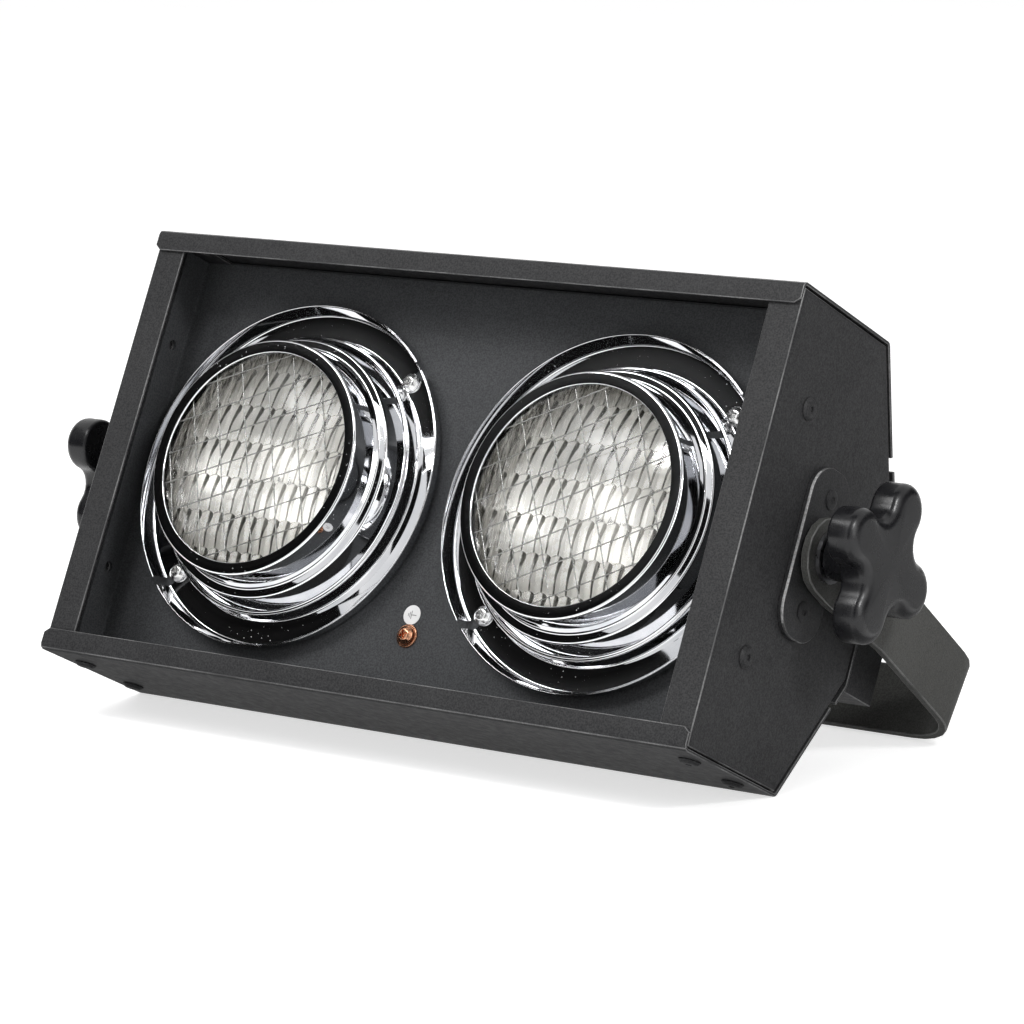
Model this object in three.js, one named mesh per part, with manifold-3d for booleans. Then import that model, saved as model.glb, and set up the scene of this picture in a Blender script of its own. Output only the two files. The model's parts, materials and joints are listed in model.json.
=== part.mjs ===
// Audience blinder light: two sealed-beam lamps in a folded steel head, which tilts in a flat-bar yoke.
// Millimetres and degrees, +Z up. The lamps face -Y and lean back, and the yoke lies behind as a foot.
import * as THREE from 'three';
import { mergeVertices } from 'three/addons/utils/BufferGeometryUtils.js';
import Module from 'manifold-3d';

const wasm = await Module();
wasm.setup();

// Sheet metal and fits
const sheet = 1.5;
const bendRadius = 2.5;
const seatGap = 0.3; // between pieces that lie on each other
const overrun = 2; // how far every cutting tool passes its work

// Head: depths run back from its front plane, heights from its middle
const housingHeight = 214;
const housingDepth = 81;
const slopeAngle = 30; // rear slopes, from the upright
const bezelRoom = 9.5; // from a bezel's rim to the housing's side
const lipHeight = 10.5;
const lipChamferWidth = 3;
const lipChamferHeight = 2.3;
const sideFlange = 17;
const cornerRelief = 1.6; // radius of the notch where two flanges of a side plate meet

// Rear cover and connection box
const rearFlatShare = 0.4267; // of the housing's height, where the rear is upright
const coverReach = 9.94; // height of its sloped edges
const coverProud = 1.2; // how far its slopes stand off the shells' slopes
const topSlopeGap = 5.1; // height between its sloped edge and the top shell's
const bottomSlopeGap = 2.9;
const boxInset = 4; // from the housing's side to the box's
const boxOverhang = 1.34; // of the box past the upright part of the rear
const boxDepth = 32;
const tabShare = 0.6486; // of half the housing's width, out to the tabs
const tabWidth = 14;
const tabLength = 12;
const windowWidth = 64;
const windowHeight = 20;
const windowShare = 0.5257; // of half the rear's upright part, up to the window
const coverScrewShare = 0.645; // of the same, up to the screws

// Stance: the head leans back on its lower rear edge and on the yoke
const headTilt = 25.7;
const pivotDepth = 59.7;
const pivotRise = -0.6;

// Lamp panel
const panelDepth = 37;
const panelSideFlange = 18;
const panelEdgeFlange = 12;
const bezelGap = 13.4; // between the rims of the two bezels
const lampRise = -0.8;
const lampHoleReach = 10; // of its two round holes past the lamps' edges

// Bezel: how far its rings reach past the lamp's edge, and their depths, from the opening to the rim
const bezelSheet = 0.9;
const bezelBend = 1.5;
const openingLap = 5; // of its face over the lamp's edge
const faceReach = 1.2;
const faceDepth = 1.5;
const neckReach = 2.8;
const firstShelfReach = 7.4;
const firstShelfDepth = 18.2;
const stepReach = 11;
const secondShelfReach = 13;
const secondShelfDepth = 28.8;
const screwReach = 18;
const dishReach = 25.4;
const rimReach = 27.4;
const rimDepth = 28.2;
const slotWidth = 5.4;
const slotAngle = 45;

// Wire guard: two layers of straight wires, welded where they cross; shares are of the lamp's radius
const wireRadius = 0.5;
const wireWeld = 0.2; // how deep two crossing wires run into each other
const guardLap = 1.5; // from the lamp's edge in to the ends of the wires
const guardPitchShare = 0.257;
const wiresEachSide = 3;
const guardLeft = { turn: 22, rowShare: 0.035, columnShare: -0.086 };
const guardRight = { turn: 26.5, rowShare: 0.009, columnShare: -0.079 };

// Sealed-beam lamp
const lampRadius = 57;
const lensEdge = 3.2;
const lensCrown = 2.4; // rise of the lens inside, towards the filament
const lampRim = 4;
const bowlLap = 4.5; // from the lamp's edge in to the mouth of its bowl
const bowlDepth = 41;
const glass = 3;
const bowlBackRadius = 13;
const filamentLength = 14;
const filamentRadius = 1.1;
const postRadius = 0.7;
const terminalSpacing = 16;
const terminalRadius = 4;
const terminalHeight = 5.5;
const terminalScrewRadius = 2.8;
const terminalScrewHeight = 2.4;
const springWire = 1.1; // radius
const springOpening = 14;

// Rivets and screws
const rivetHead = 5.4;
const rivetDome = 2;
const rivetShank = 2.4;
const rivetBore = 1.3;
const rivetTail = 3.6;
const rivetTailLength = 3;
const sideRivetDepth = 28.4;
const sideRivetShare = 0.5336; // of half the housing's height
const shellRivetInset = 11; // from the end of a shell
const shellRivetFront = 23;
const shellRivetRear = 61;
const plateRivetHead = 5;
const plateRivetDome = 0.9;
const screwHead = 4.5;
const screwDome = 2.5;
const screwShank = 2;
const screwLength = 9;
const shankGap = 0.3; // round each shank in its hole
const earthSide = -2;
const earthHeight = -68;
const earthWasher = 5.4;
const earthWasherThickness = 0.8;

// Pivot
const plateWidth = 34;
const plateLength = 79;
const plateThickness = 3;
const plateCornerShare = 0.375; // of its width, for its round corners
const plateRivetRise = 26;
const boltRadius = 4;
const boltHead = 9;
const boltTopShare = 0.75; // of its head's radius, flat on top
const boltHeadHeight = 3.5;
const boltSquare = 8.2;
const boltEngagement = 22; // into the knob
const frictionWasher = 14;
const frictionThickness = 1.6;
const clampWasher = 12;
const clampThickness = 2;
const washerGap = 0.35; // round the bolt in its washers, yoke and insert

// Yoke
const yokeWidth = 35;
const yokeThickness = 4;
const yokeReach = 150; // pivot axis to the outer face of the crossbar
const yokeFlare = 8.5;
const flareStart = 14;
const flareEnd = 54;
const yokeCorner = 28;
const flareBend = 10;
const hangHole = 6.5; // radius, for an M12 bolt

// Knob
const lobes = 4;
const lobeRadius = 12.8;
const lobeOffset = 25.7; // from the knob's axis to the middle of a lobe
const waistRadius = 9; // of the hollows between the lobes
const lobeTurn = -10.3;
const knobDepth = 14.8;
const knobEdge = 4;
const hubRadius = 10.4;
const hubLength = 15.9;
const insertRadius = 6.5;
const insertLength = 24;

// Wiring and gland
const blockPoles = 5;
const polePitch = 10;
const blockHeight = 20;
const blockDepth = 15;
const blockShare = 0.3066; // of half the rear's upright part, down to the block
const poleCrown = 3;
const leadPole = 1.5; // poles between the earth and the middle of a lamp's pair
const leadRadius = 1.8;
const leadLoop = 9; // how far a lead runs straight from what it joins
const glandShare = 0.6216; // of half the housing's width, out to the gland
const glandBore = 4.2;
const glandThread = 8;
const threadGap = 0.5; // round the gland's thread in its cap, locknut and wall
const glandHex = 12.5;
const glandFlange = 4.5;
const glandStub = 8;
const glandCapLength = 15;
const glandCapNose = 7.5;
const locknutHex = 11.5;
const locknutHeight = 3;

// Facets
const fineSides = 36;
const roundSides = 20;
const smallSides = 8;
const wireSides = 5;
const bendSteps = 2;
const cornerSteps = 6;
const bowlSteps = 4;
const leadSteps = 10;
const lobeSteps = 6;
const waistSteps = 3;
const bevelSteps = 2;
const boltSides = 10;

const rimRadius = lampRadius + rimReach;
const lampX = rimRadius + bezelGap / 2;
const halfWidth = lampX + rimRadius + bezelRoom;
const housingWidth = 2 * halfWidth;
const halfHeight = housingHeight / 2;
const tilt = THREE.MathUtils.degToRad(headTilt);
const slope = THREE.MathUtils.degToRad(slopeAngle);
const rearHeight = halfHeight * rearFlatShare;
const rearDepth = housingDepth + (halfHeight - rearHeight) * Math.tan(slope) + coverProud / Math.cos(slope);
const coverEdge = rearHeight + coverReach;
const nest = sheet + seatGap; // from the outside of a shell to the outside of what it wraps
const sideFace = halfWidth - sheet;

const unitX = new THREE.Vector3(1, 0, 0);
const unitY = new THREE.Vector3(0, 1, 0);
const unitZ = new THREE.Vector3(0, 0, 1);

// Colours and surfaces
const finishes = {
  paint: { color: 0x2b2b2a, roughness: 0.55, metalness: 0.1 },
  panelPaint: { color: 0x1d1e1f, roughness: 0.5, metalness: 0.1 },
  chrome: { color: 0xc9cbcd, roughness: 0.12, metalness: 1 },
  wire: { color: 0xb9bab4, roughness: 0.35, metalness: 1 },
  lens: { color: 0xe6e4da, roughness: 0.15, metalness: 0 },
  mirror: { color: 0xd8d8d4, roughness: 0.15, metalness: 1 },
  tungsten: { color: 0x6b6b6b, roughness: 0.4, metalness: 1 },
  brass: { color: 0xb08d4a, roughness: 0.35, metalness: 1 },
  copper: { color: 0xa35f3c, roughness: 0.35, metalness: 1 },
  steel: { color: 0x9a9b9c, roughness: 0.35, metalness: 1 },
  knob: { color: 0x202123, roughness: 0.3, metalness: 0 },
  fibre: { color: 0x161616, roughness: 0.8, metalness: 0 },
  ceramic: { color: 0xd9d4c6, roughness: 0.6, metalness: 0 },
  lead: { color: 0xbdb8ac, roughness: 0.7, metalness: 0 },
  earthLead: { color: 0x7f9b2f, roughness: 0.6, metalness: 0 },
};

// Closed body of a geometry, for joining and cutting
function solid(geometry) {
  const bare = geometry.clone();
  bare.deleteAttribute('normal');
  bare.deleteAttribute('uv');
  const merged = mergeVertices(bare);
  const corners = merged.index.array;
  const faces = [];
  for (let i = 0; i < corners.length; i += 3) {
    const [a, b, c] = corners.slice(i, i + 3);
    if (a !== b && b !== c && c !== a) faces.push(a, b, c);
  }
  return new wasm.Manifold(new wasm.Mesh({
    numProp: 3,
    vertProperties: merged.attributes.position.array,
    triVerts: Uint32Array.from(faces),
  }));
}

function geometryOf(body) {
  const mesh = body.getMesh();
  const geometry = new THREE.BufferGeometry();
  geometry.setAttribute('position', new THREE.BufferAttribute(mesh.vertProperties, mesh.numProp));
  geometry.setIndex(new THREE.BufferAttribute(mesh.triVerts, 1));
  geometry.computeVertexNormals();
  return geometry;
}

function join(...parts) {
  return geometryOf(parts.map(solid).reduce((whole, part) => whole.add(part)));
}

function cut(work, ...tools) {
  return geometryOf(tools.map(solid).reduce((whole, tool) => whole.subtract(tool), solid(work)));
}

function common(first, second) {
  return geometryOf(solid(first).intersect(solid(second)));
}

// The same piece on the other side of the plane x = 0
function mirrored(geometry) {
  const twin = mergeVertices(geometry.clone().scale(-1, 1, 1));
  const corners = twin.index.array;
  for (let i = 0; i < corners.length; i += 3) {
    [corners[i], corners[i + 1]] = [corners[i + 1], corners[i]];
  }
  twin.computeVertexNormals();
  return twin;
}

const shapeOf = (points) => new THREE.Shape(points.map(([a, b]) => new THREE.Vector2(a, b)));

function circle(radius, sides, a = 0, b = 0) {
  const points = [];
  for (let i = 0; i < sides; i += 1) {
    const angle = (2 * Math.PI * i) / sides;
    points.push([a + radius * Math.cos(angle), b + radius * Math.sin(angle)]);
  }
  return shapeOf(points);
}

function rectangle(a, b, width, height) {
  const [left, right] = [a - width / 2, a + width / 2];
  const [low, high] = [b - height / 2, b + height / 2];
  return shapeOf([[left, low], [right, low], [right, high], [left, high]]);
}

// Bar with two round ends, upright, centred on (a, b)
function slotShape(a, b, width, height, radius, steps) {
  const points = [];
  const corners = [[1, 1, 0], [-1, 1, 1], [-1, -1, 2], [1, -1, 3]];
  for (const [right, up, quarter] of corners) {
    for (let i = 0; i <= steps; i += 1) {
      const angle = ((quarter + i / steps) * Math.PI) / 2;
      points.push([
        a + right * (width / 2 - radius) + radius * Math.cos(angle),
        b + up * (height / 2 - radius) + radius * Math.sin(angle),
      ]);
    }
  }
  return shapeOf(points);
}

function extruded(shape, length, edge) {
  const bevel = edge > 0
    ? { bevelEnabled: true, bevelThickness: edge, bevelSize: edge, bevelOffset: -edge, bevelSegments: bevelSteps }
    : { bevelEnabled: false };
  const geometry = new THREE.ExtrudeGeometry(shape, { depth: length - 2 * edge, steps: 1, ...bevel });
  return geometry.translate(0, 0, edge);
}

// Outline in (y, z), (x, z) or (x, y), carried from one place on the third axis to the other
function alongX(shape, from, to, edge = 0) {
  const turn = new THREE.Matrix4().makeBasis(unitY, unitZ, unitX);
  return extruded(shape, to - from, edge).applyMatrix4(turn).translate(from, 0, 0);
}

function alongY(shape, from, to, edge = 0) {
  const turn = new THREE.Matrix4().makeBasis(unitX, unitZ, unitY.clone().negate());
  return extruded(shape, to - from, edge).applyMatrix4(turn).translate(0, to, 0);
}

function alongZ(shape, from, to, edge = 0) {
  return extruded(shape, to - from, edge).translate(0, 0, from);
}

// Solid of revolution about Y from [radius, height] pairs that start and end on the axis, or close
function turned(points, sides) {
  const profile = points.map(([r, y]) => new THREE.Vector2(r, y));
  if (THREE.ShapeUtils.area(profile) < 0) profile.reverse();
  if (profile[0].x !== 0) profile.push(profile[0].clone());
  const lathe = new THREE.LatheGeometry(profile, sides);
  lathe.deleteAttribute('uv');
  lathe.deleteAttribute('normal');
  return geometryOf(solid(lathe));
}

function ring(outer, inner, from, to, sides) {
  return turned([[inner, from], [outer, from], [outer, to], [inner, to]], sides);
}

function rod(radius, from, to, sides) {
  return turned([[0, from], [radius, from], [radius, to], [0, to]], sides);
}

// Turn a piece made about +Y to point another way
const towardsX = (geometry) => geometry.rotateZ(-Math.PI / 2);
const towardsTop = (geometry) => geometry.rotateX(Math.PI / 2);
const towardsBelow = (geometry) => geometry.rotateX(-Math.PI / 2);
const towardsFront = (geometry) => geometry.rotateX(Math.PI);

// Outline of a folded sheet. The corners lie on one face, walked with the sheet on the right, and each
// inner corner has the radius of its bend's outside, or 0 for a sharp fold.
function foldedPoints(corners, thickness, radii, steps = bendSteps) {
  const points = corners.map(([a, b]) => new THREE.Vector2(a, b));
  const face = [];
  const back = [];
  const add = (point, normal) => {
    face.push(point.toArray());
    back.unshift(point.clone().addScaledVector(normal, thickness).toArray());
  };
  const along = (i) => points[i + 1].clone().sub(points[i]).normalize();
  const rightOf = (d) => new THREE.Vector2(d.y, -d.x);
  add(points[0], rightOf(along(0)));
  for (let i = 1; i < points.length - 1; i += 1) {
    const before = along(i - 1);
    const after = along(i);
    const turn = Math.atan2(before.cross(after), before.dot(after));
    const outside = Array.isArray(radii) ? radii[i - 1] : radii;
    if (outside === 0) {
      const mitre = rightOf(before).add(rightOf(after)).divideScalar(1 + before.dot(after));
      add(points[i], mitre);
      continue;
    }
    const radius = turn < 0 ? outside : outside - thickness;
    const start = points[i].clone().addScaledVector(before, -radius * Math.tan(Math.abs(turn) / 2));
    const reach = -Math.sign(turn) * radius;
    const centre = start.clone().addScaledVector(rightOf(before), reach);
    for (let k = 0; k <= steps; k += 1) {
      const normal = rightOf(before).rotateAround(new THREE.Vector2(), (turn * k) / steps);
      add(centre.clone().addScaledVector(normal, -reach), normal);
    }
  }
  add(points.at(-1), rightOf(along(points.length - 2)));
  return [...face, ...back];
}

const folded = (corners, thickness, radii) => shapeOf(foldedPoints(corners, thickness, radii));

// Depth of the rear slope at a height, a distance in from the shells' outside
const slopeDepth = (height, inset) => housingDepth
  + (halfHeight - Math.abs(height)) * Math.tan(slope) - inset / Math.cos(slope);

// Blind rivet about Y: head above its seat at 0, tail below the sheets that it grips
function blindRivet(grip) {
  const crown = seatGap + rivetDome;
  const tail = -grip - seatGap;
  return turned([
    [0, tail - rivetTailLength],
    [rivetTail, tail - rivetTailLength / 2],
    [rivetTail, tail],
    [rivetShank, tail],
    [rivetShank, seatGap],
    [rivetHead, seatGap],
    [(rivetHead + rivetShank) / 2, seatGap + rivetDome * Math.cos(slope)],
    [rivetBore, crown],
    [rivetBore, seatGap],
    [0, seatGap],
  ], smallSides);
}

// Flat-headed rivet about Y
function flatRivet(grip) {
  const tail = -grip - seatGap;
  return turned([
    [0, tail - plateRivetDome],
    [plateRivetHead, tail - plateRivetDome],
    [plateRivetHead, tail],
    [rivetShank, tail],
    [rivetShank, seatGap],
    [plateRivetHead, seatGap],
    [rivetShank, seatGap + plateRivetDome],
    [0, seatGap + plateRivetDome],
  ], smallSides);
}

// Pan-head screw about Y, its head above a seat at 0
function panScrew(length) {
  return turned([
    [0, -length],
    [screwShank, -length],
    [screwShank, seatGap],
    [screwHead, seatGap],
    [screwHead, seatGap + screwDome / 2],
    [screwHead - screwDome / 2, seatGap + screwDome],
    [0, seatGap + screwDome],
  ], smallSides);
}

const hole = (radius, length) => rod(radius, -length, length, smallSides);

// Four places with both signs of a and b
function fourPlaces(a, b) {
  return [[a, b], [-a, b], [a, -b], [-a, -b]];
}

// Shells: front lip, flat and rear slope
const rivetHole = rivetShank + shankGap;
const rivetX = halfWidth - shellRivetInset;
const shellRivetDepths = [shellRivetFront, shellRivetRear];

function shellSheet(up, slopeEdge) {
  const corners = [
    [0, up * (halfHeight - lipHeight)],
    [0, up * halfHeight],
    [housingDepth, up * halfHeight],
    [slopeDepth(slopeEdge, 0), up * slopeEdge],
  ];
  if (up < 0) corners.reverse();
  return alongX(folded(corners, sheet, bendRadius), -halfWidth, halfWidth);
}

function lipChamfers(up) {
  const edge = up * (halfHeight - lipHeight);
  return [1, -1].map((side) => alongY(shapeOf([
    [side * (halfWidth - lipChamferWidth), edge - up * overrun],
    [side * (halfWidth - lipChamferWidth), edge],
    [side * halfWidth, edge + up * lipChamferHeight],
    [side * (halfWidth + overrun), edge + up * lipChamferHeight],
    [side * (halfWidth + overrun), edge - up * overrun],
  ]), -overrun, sheet + overrun));
}

function shellHoles(up) {
  return [rivetX, -rivetX].flatMap((x) => shellRivetDepths.map((y) => (
    towardsTop(hole(rivetHole, nest + overrun)).translate(x, y, up * halfHeight))));
}

function shell(up, slopeEdge) {
  return cut(shellSheet(up, slopeEdge), ...lipChamfers(up), ...shellHoles(up));
}

// Side plates: pans nested in the shells, flanges turned inwards all round
const sideRivetHeight = halfHeight * sideRivetShare;
const coverScrewX = halfWidth - sideFlange / 2 - rivetTail;
const coverScrewRise = rearHeight * coverScrewShare;
const sideFront = sheet + seatGap;
const sideRear = rearDepth - sheet - seatGap;

function sideOutline(inset) {
  const top = halfHeight - nest - inset;
  const rear = sideRear - inset;
  const cos = Math.cos(slope);
  const knee = halfHeight - (rear - housingDepth + (nest + inset) / cos) / Math.tan(slope);
  const shoulder = slopeDepth(top, nest + inset);
  return [
    [sideFront + inset, -top],
    [shoulder, -top],
    [rear, -knee],
    [rear, knee],
    [shoulder, top],
    [sideFront + inset, top],
  ];
}

function sidePlate() {
  const rim = halfWidth - sideFlange;
  const body = alongX(shapeOf(sideOutline(0)), rim - overrun, halfWidth, bendRadius);
  const hollow = alongX(shapeOf(sideOutline(sheet)), rim - overrun - bendRadius, sideFace, bendRadius - sheet);
  const open = alongX(rectangle(0, 0, housingHeight + rearDepth, housingHeight), rim - overrun - bendRadius, rim);
  const reliefs = sideOutline(sheet / 2).map(([y, z]) => (
    alongX(circle(cornerRelief, smallSides, y, z), rim - overrun, sideFace - bendRadius)));
  const rivets = [1, -1].map((up) => towardsX(hole(rivetHole, nest + overrun))
    .translate(halfWidth, sideRivetDepth, up * sideRivetHeight));
  const plateRivets = [1, -1].map((up) => towardsX(hole(rivetHole, nest + overrun))
    .translate(halfWidth, pivotDepth, pivotRise + up * plateRivetRise));
  const shellRivets = [1, -1].flatMap((up) => shellRivetDepths.map((y) => (
    towardsTop(hole(rivetHole, nest + sheet)).translate(rivetX, y, up * halfHeight))));
  const square = boltSquare + 2 * shankGap;
  const neckShape = rectangle(pivotDepth, pivotRise, square, square);
  const neckHole = alongX(neckShape, sideFace - overrun, halfWidth + overrun);
  const coverHoles = [1, -1].map((up) => hole(screwShank + shankGap, nest + sheet)
    .translate(coverScrewX, rearDepth, up * coverScrewRise));
  return cut(body, hollow, open, ...reliefs, ...rivets, ...plateRivets, ...shellRivets, neckHole, ...coverHoles);
}

// Lamp panel: side flanges forward, top and bottom flanges back, between the side plates
const panelBack = panelDepth + sheet;

const screwCircle = lampRadius + screwReach;

function screwPlaces() {
  const angle = THREE.MathUtils.degToRad(slotAngle);
  const [x, z] = [screwCircle * Math.cos(angle), screwCircle * Math.sin(angle)];
  return [1, -1].map((side) => [side * x, lampRise + side * z]);
}

function lampPanel() {
  const high = halfHeight - nest;
  const between = halfWidth - sideFlange - seatGap;
  const wide = sideFace - seatGap;
  const low = high - sheet - seatGap;
  const upright = folded([
    [panelDepth + panelEdgeFlange, -high],
    [panelDepth, -high],
    [panelDepth, high],
    [panelDepth + panelEdgeFlange, high],
  ], sheet, bendRadius);
  const level = folded([
    [-wide, panelBack - panelSideFlange],
    [-wide, panelBack],
    [wide, panelBack],
    [wide, panelBack - panelSideFlange],
  ], sheet, bendRadius);
  const body = join(alongX(upright, -between, between), alongZ(level, -low, low));
  const lampHole = lampRadius + lampHoleReach;
  const lampHoles = [lampX, -lampX].map((x) => (
    alongY(circle(lampHole, fineSides, x, lampRise), panelDepth - overrun, panelBack + overrun)));
  const screwHoles = [lampX, -lampX].flatMap((x) => screwPlaces().map(([dx, z]) => (
    hole(screwShank + shankGap, nest + sheet).translate(x + dx, panelDepth, z))));
  const earthHole = hole(screwShank + shankGap, nest + sheet).translate(earthSide, panelDepth, earthHeight);
  const rivets = fourPlaces(sideFace, sideRivetHeight).map(([x, z]) => (
    towardsX(hole(rivetHole, nest + overrun)).translate(x, sideRivetDepth, z)));
  return cut(body, ...lampHoles, ...screwHoles, earthHole, ...rivets);
}

// Rear cover: a shallow channel with four tabs that the box is screwed to
const boxWidth = housingWidth - 2 * boxInset;
const boxHeight = 2 * (rearHeight + boxOverhang);
const tabOffset = halfWidth * tabShare;
const windowRise = rearHeight * windowShare;

function rearCover() {
  const edgeDepth = slopeDepth(coverEdge, -coverProud);
  const channel = folded([
    [edgeDepth, coverEdge],
    [rearDepth, rearHeight],
    [rearDepth, -rearHeight],
    [edgeDepth, -coverEdge],
  ], sheet, bendRadius);
  const tabHeight = boxHeight / 2 - nest - sheet / 2;
  const tabs = fourPlaces(tabOffset, tabHeight).map(([x, z]) => (
    alongY(rectangle(x, z, tabWidth, sheet), rearDepth - sheet, rearDepth + tabLength)));
  const screws = fourPlaces(coverScrewX, coverScrewRise).map(([x, z]) => (
    panScrew(screwLength).translate(x, rearDepth, z)));
  const body = join(alongX(channel, -halfWidth, halfWidth), ...tabs, ...screws);
  const windowShape = rectangle(0, windowRise, windowWidth, windowHeight);
  const window = alongY(windowShape, rearDepth - nest, rearDepth + overrun);
  const tabHoles = fourPlaces(tabOffset, tabHeight).map(([x, z]) => (
    towardsTop(hole(screwShank + shankGap, nest)).translate(x, rearDepth + tabLength / 2, z)));
  return cut(body, window, ...tabHoles);
}

// Rear connection box, open towards the rear cover
const boxFront = rearDepth + seatGap;
const boxRear = boxFront + boxDepth;
const glandSide = -halfWidth * glandShare;

function rearBox() {
  const body = alongY(rectangle(0, 0, boxWidth, boxHeight), boxFront - bendRadius, boxRear, bendRadius);
  const width = boxWidth - 2 * sheet;
  const height = boxHeight - 2 * sheet;
  const start = boxFront - overrun - bendRadius;
  const hollow = alongY(rectangle(0, 0, width, height), start, boxRear - sheet, bendRadius - sheet);
  const open = alongY(rectangle(0, 0, housingWidth, housingHeight), start, boxFront);
  const screws = fourPlaces(tabOffset, boxHeight / 2).map(([x, z]) => {
    const screw = z > 0 ? towardsTop(panScrew(screwLength)) : towardsBelow(panScrew(screwLength));
    return screw.translate(x, rearDepth + tabLength / 2, z);
  });
  const glandHole = rod(glandThread + threadGap, boxRear - nest, boxRear + overrun, roundSides)
    .translate(glandSide, 0, 0);
  return join(cut(body, hollow, open, glandHole), ...screws);
}

// Bezel: spun sheet in steps, with a dished flange and two open slots
function bezelProfile() {
  const at = (reach, depth) => [lampRadius + reach, depth];
  const flangeDepth = panelDepth - seatGap - bezelSheet;
  return foldedPoints([
    at(rimReach, rimDepth),
    at(dishReach, flangeDepth),
    at(secondShelfReach, flangeDepth),
    at(secondShelfReach - bezelSheet / 2, secondShelfDepth),
    at(stepReach, secondShelfDepth),
    at(firstShelfReach, firstShelfDepth),
    at(neckReach, firstShelfDepth),
    at(faceReach, faceDepth),
    at(-openingLap, faceDepth),
  ], bezelSheet, [bezelBend, 0, bezelBend, 0, bezelBend, 0, bezelBend], 1);
}

function bezel() {
  const body = turned(bezelProfile(), fineSides);
  const slots = [0, 1].map((half) => {
    const length = rimRadius - screwCircle + slotWidth;
    const slot = rectangle(screwCircle - slotWidth / 2 + length / 2, 0, length, slotWidth);
    const angle = THREE.MathUtils.degToRad(slotAngle) + half * Math.PI;
    return alongY(slot, rimDepth - overrun, panelDepth).rotateY(-angle);
  });
  return cut(body, ...slots);
}

// Wire guard in its own lamp's middle, just behind the bezel's face
const guardFront = faceDepth + bezelSheet + seatGap;
const rowDepth = guardFront + wireRadius;
const columnDepth = rowDepth + 2 * wireRadius - wireWeld;

const guardRadius = lampRadius - guardLap;

function wireAt(offset) {
  return 2 * Math.sqrt(guardRadius ** 2 - offset ** 2);
}

function guard({ turn, rowShare, columnShare }) {
  const wires = [];
  for (let k = -wiresEachSide; k <= wiresEachSide; k += 1) {
    const row = lampRadius * (rowShare + k * guardPitchShare);
    const column = lampRadius * (columnShare + k * guardPitchShare);
    const rowHalf = wireAt(row) / 2;
    const columnHalf = wireAt(column) / 2;
    wires.push(alongX(circle(wireRadius, wireSides, rowDepth, row), -rowHalf, rowHalf));
    wires.push(alongZ(circle(wireRadius, wireSides, column, columnDepth), -columnHalf, columnHalf));
  }
  return join(...wires).rotateY(-THREE.MathUtils.degToRad(turn));
}

// Lamp: lens, reflector, filament and terminals
const bowlRadius = lampRadius - bowlLap;
const lensFront = columnDepth + wireRadius + seatGap;
const rimFront = lensFront + lensEdge + seatGap;

function lens() {
  const points = [[0, lensFront], [lampRadius, lensFront], [lampRadius, lensFront + lensEdge]];
  const edge = bowlRadius - seatGap;
  const steps = bendSteps + 1;
  for (let i = 0; i <= steps; i += 1) {
    const radius = edge * (1 - i / steps);
    points.push([radius, lensFront + lensEdge + lensCrown * (1 - (radius / edge) ** 2)]);
  }
  return turned(points, fineSides);
}

// Screw terminal on the lamp's back, its foot fused into the glass
function lampTerminal(side) {
  const seat = bowlAt(bowlBackRadius, glass);
  return turned([
    [0, seat - glass / 2],
    [terminalRadius, seat - glass / 2],
    [terminalRadius, seat + terminalHeight],
    [terminalScrewRadius, seat + terminalHeight],
    [terminalScrewRadius, seat + terminalHeight + terminalScrewHeight],
    [0, seat + terminalHeight + terminalScrewHeight],
  ], smallSides).translate((side * terminalSpacing) / 2, 0, 0);
}

const bowlAt = (radius, wall) => rimFront + (bowlDepth + wall) * (1 - (radius / (bowlRadius + wall)) ** 2);

function reflector() {
  const steps = bowlSteps;
  const points = [];
  for (let i = 0; i <= steps; i += 1) {
    const radius = (bowlRadius * i) / steps;
    points.push([radius, bowlAt(radius, 0)]);
  }
  points.push([lampRadius, rimFront], [lampRadius, rimFront + lampRim]);
  const outer = (bowlRadius + glass) * Math.sqrt(1 - lampRim / (bowlDepth + glass));
  for (let i = 0; i <= steps; i += 1) {
    const radius = outer + ((bowlBackRadius - outer) * i) / steps;
    points.push([radius, bowlAt(radius, glass)]);
  }
  points.push([0, bowlAt(bowlBackRadius, glass)]);
  return join(turned(points, roundSides), lampTerminal(1), lampTerminal(-1));
}

function filament() {
  const focus = bowlAt(0, 0) - bowlRadius ** 2 / (2 * 2 * bowlDepth);
  const coil = alongX(circle(filamentRadius, wireSides + 1, focus, 0), -filamentLength / 2, filamentLength / 2);
  const spread = filamentLength / 2 - postRadius;
  const step = bowlRadius / bowlSteps;
  const back = bowlAt(0, 0) - ((bowlAt(0, 0) - bowlAt(step, 0)) * (spread + postRadius)) / step - seatGap;
  const posts = [spread, -spread].map((x) => rod(postRadius, focus, back, wireSides).translate(x, 0, 0));
  return join(coil, ...posts);
}

const lampBack = bowlAt(bowlBackRadius, glass);

// Spring ring of round wire, sprung into the bezel behind the lamp's rim
function retainingRing() {
  const depth = rimFront + lampRim + seatGap + springWire;
  const share = (depth - faceDepth) / (firstShelfDepth - faceDepth);
  const wall = lampRadius + faceReach + (neckReach - faceReach) * share - bezelSheet;
  const radius = wall - springWire - 2 * seatGap;
  const section = [];
  const sides = wireSides + 1;
  for (let i = 0; i < sides; i += 1) {
    const angle = (2 * Math.PI * i) / sides;
    section.push([radius + springWire * Math.cos(angle), depth + springWire * Math.sin(angle)]);
  }
  const opening = rectangle(0, -radius, springOpening, springOpening);
  const gap = alongY(opening, depth - springOpening, depth + springOpening);
  return cut(turned(section, roundSides), gap);
}

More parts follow.
